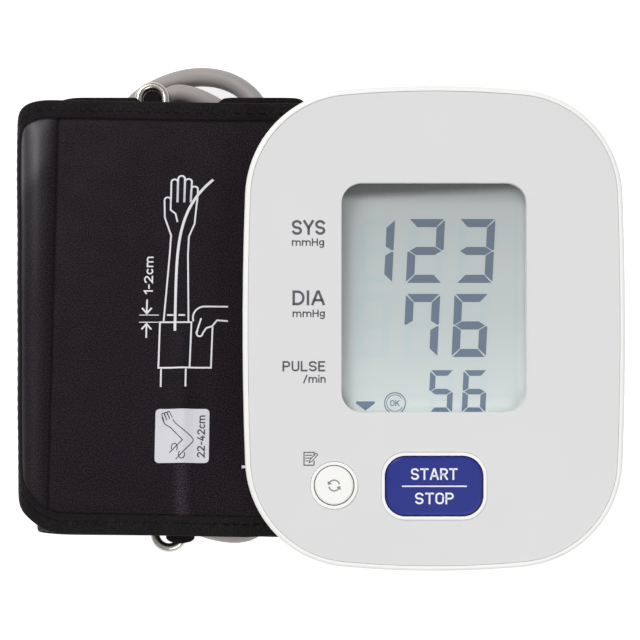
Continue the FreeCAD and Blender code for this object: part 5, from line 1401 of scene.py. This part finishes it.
# Stage: the camera's place on the face and its view, the lamps' offsets and widths, and the floor, in metres
EYE_ACROSS = -31.84
EYE_UP = 2.34
HALF_VIEW = 89.3
SENSOR_WIDTH = 36
CLIP = (0.01, 20)
AIM_OFFSET = Vector((-0.03, 0, -0.02))
KEY_OFFSET = Vector((-0.9, 1.15, 1.7))
KEY_WIDTH = 0.9
FILL_OFFSET = Vector((0.5, -1.3, 1.5))
FILL_WIDTH = 1.2
FILL_SHARE = 0.55
FLOOR_HALF = 3.0
FLOOR_GREY = (0.6, 0.6, 0.6)
FLOOR_GLOW = 0.8
WHITE = (1, 1, 1, 1)


def seen_by(tree, *rays):
    """1 for these kinds of ray, and 0 for the rest."""
    light_path = make_node(tree, "LightPath", {})
    seen = light_path.outputs[rays[0]]
    for ray in rays[1:]:
        seen = math_node(tree, "MAXIMUM", seen, light_path.outputs[ray])
    return seen


class STAGE_OT_studio(bpy.types.Operator):
    """Sets up the floor, the soft lights and the camera"""
    bl_idname = "monitor.studio"
    bl_label = "Studio"

    def execute(self, context):
        settings = context.scene.stage_settings
        context.scene.view_settings.view_transform = "Standard"
        self.camera(context, settings.eye_distance)
        self.floor()
        self.world(context, settings.world_strength)
        self.lamp("key_light", KEY_OFFSET, KEY_WIDTH, settings.key_power)
        self.lamp("fill_light", FILL_OFFSET, FILL_WIDTH, settings.key_power * FILL_SHARE)
        return {"FINISHED"}

    def camera(self, context, distance):
        """The camera looks square at the face, a little to the left of its middle."""
        data = bpy.data.cameras.new("camera")
        data.sensor_width = SENSOR_WIDTH
        data.lens = SENSOR_WIDTH / 2 * distance / (HALF_VIEW * MM)
        data.clip_start, data.clip_end = CLIP
        eye = FACE_ORIGIN + np.array([EYE_ACROSS, EYE_UP, distance / MM]) @ FACE_AXES
        turn = Matrix([list(column) for column in FACE_AXES.T])
        camera = link_object("camera", data)
        camera.matrix_world = Matrix.Translation(Vector(eye * MM)) @ turn.to_4x4()
        context.scene.camera = camera

    def floor(self):
        """A wide pale sheet that shows nearly white to the camera and keeps a soft shadow."""
        material, tree, shader = shader_of("pale_floor", FLOOR_GREY, roughness=0.9, Emission_Color=WHITE)
        seen = seen_by(tree, "Is Camera Ray", "Is Glossy Ray", "Is Transmission Ray")
        tree.links.new(math_node(tree, "MULTIPLY", seen, FLOOR_GLOW), shader.inputs["Emission Strength"])
        corners = [(x * FLOOR_HALF, y * FLOOR_HALF, 0) for x, y in ((-1, -1), (1, -1), (1, 1), (-1, 1))]
        mesh = bpy.data.meshes.new("floor")
        mesh.from_pydata(corners, [], [(0, 1, 2, 3)])
        mesh.materials.append(material)
        link_object("floor", mesh)

    def world(self, context, strength):
        """An even pale sky that is white to the camera and to transmitted rays."""
        world = bpy.data.worlds.new("studio")
        world.use_nodes = True
        context.scene.world = world
        tree = world.node_tree
        ground = tree.nodes["Background"]
        ground.inputs["Color"].default_value = WHITE
        seen = seen_by(tree, "Is Camera Ray", "Is Transmission Ray")
        extra = math_node(tree, "MULTIPLY", seen, 1 - strength)
        tree.links.new(math_node(tree, "ADD", extra, strength), ground.inputs["Strength"])

    def lamp(self, name, offset, width, power):
        """A square soft lamp aimed at the face's middle."""
        data = bpy.data.lights.new(name, "AREA")
        data.shape = "SQUARE"
        data.size = width
        data.energy = power
        lamp = link_object(name, data)
        lamp.location = Vector(FACE_ORIGIN * MM) + AIM_OFFSET + offset
        lamp.rotation_mode = "QUATERNION"
        lamp.rotation_quaternion = (-offset).to_track_quat("-Z", "Y")


class MONITOR_PT_panel(bpy.types.Panel):
    """Shows the settings and the operators' buttons in the sidebar"""
    bl_label = "Blood Pressure Monitor"
    bl_idname = "MONITOR_PT_panel"
    bl_space_type = "VIEW_3D"
    bl_region_type = "UI"
    bl_category = "Monitor"

    def draw(self, context):
        for name, group in GROUPS.items():
            box = self.layout.box()
            for setting in group.__annotations__:
                box.prop(getattr(context.scene, name), setting)
        for operator in OPERATORS:
            self.layout.operator(operator.bl_idname)


GROUPS = {
    "cuff_sizes": CuffSizes, "monitor_colours": MonitorColours, "hose_sizes": HoseSizes,
    "stage_settings": StageSettings,
}
OPERATORS = (STAGE_OT_studio, HOSE_OT_hose, CASE_OT_finishes, CUFF_OT_cloth, CUFF_OT_trim, CUFF_OT_print,
             FACE_OT_print, FACE_OT_display)


def register():
    for name, group in GROUPS.items():
        bpy.utils.register_class(group)
        setattr(bpy.types.Scene, name, PointerProperty(type=group))
    for cls in (*OPERATORS, MONITOR_PT_panel):
        bpy.utils.register_class(cls)


def unregister():
    for cls in (MONITOR_PT_panel, *reversed(OPERATORS)):
        bpy.utils.unregister_class(cls)
    for name, group in GROUPS.items():
        delattr(bpy.types.Scene, name)
        bpy.utils.unregister_class(group)


def main():
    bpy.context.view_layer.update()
    register()
    for operator in OPERATORS:
        family, name = operator.bl_idname.split(".")
        getattr(getattr(bpy.ops, family), name)()
    bpy.context.view_layer.update()


if __name__ == "__main__":
    main()
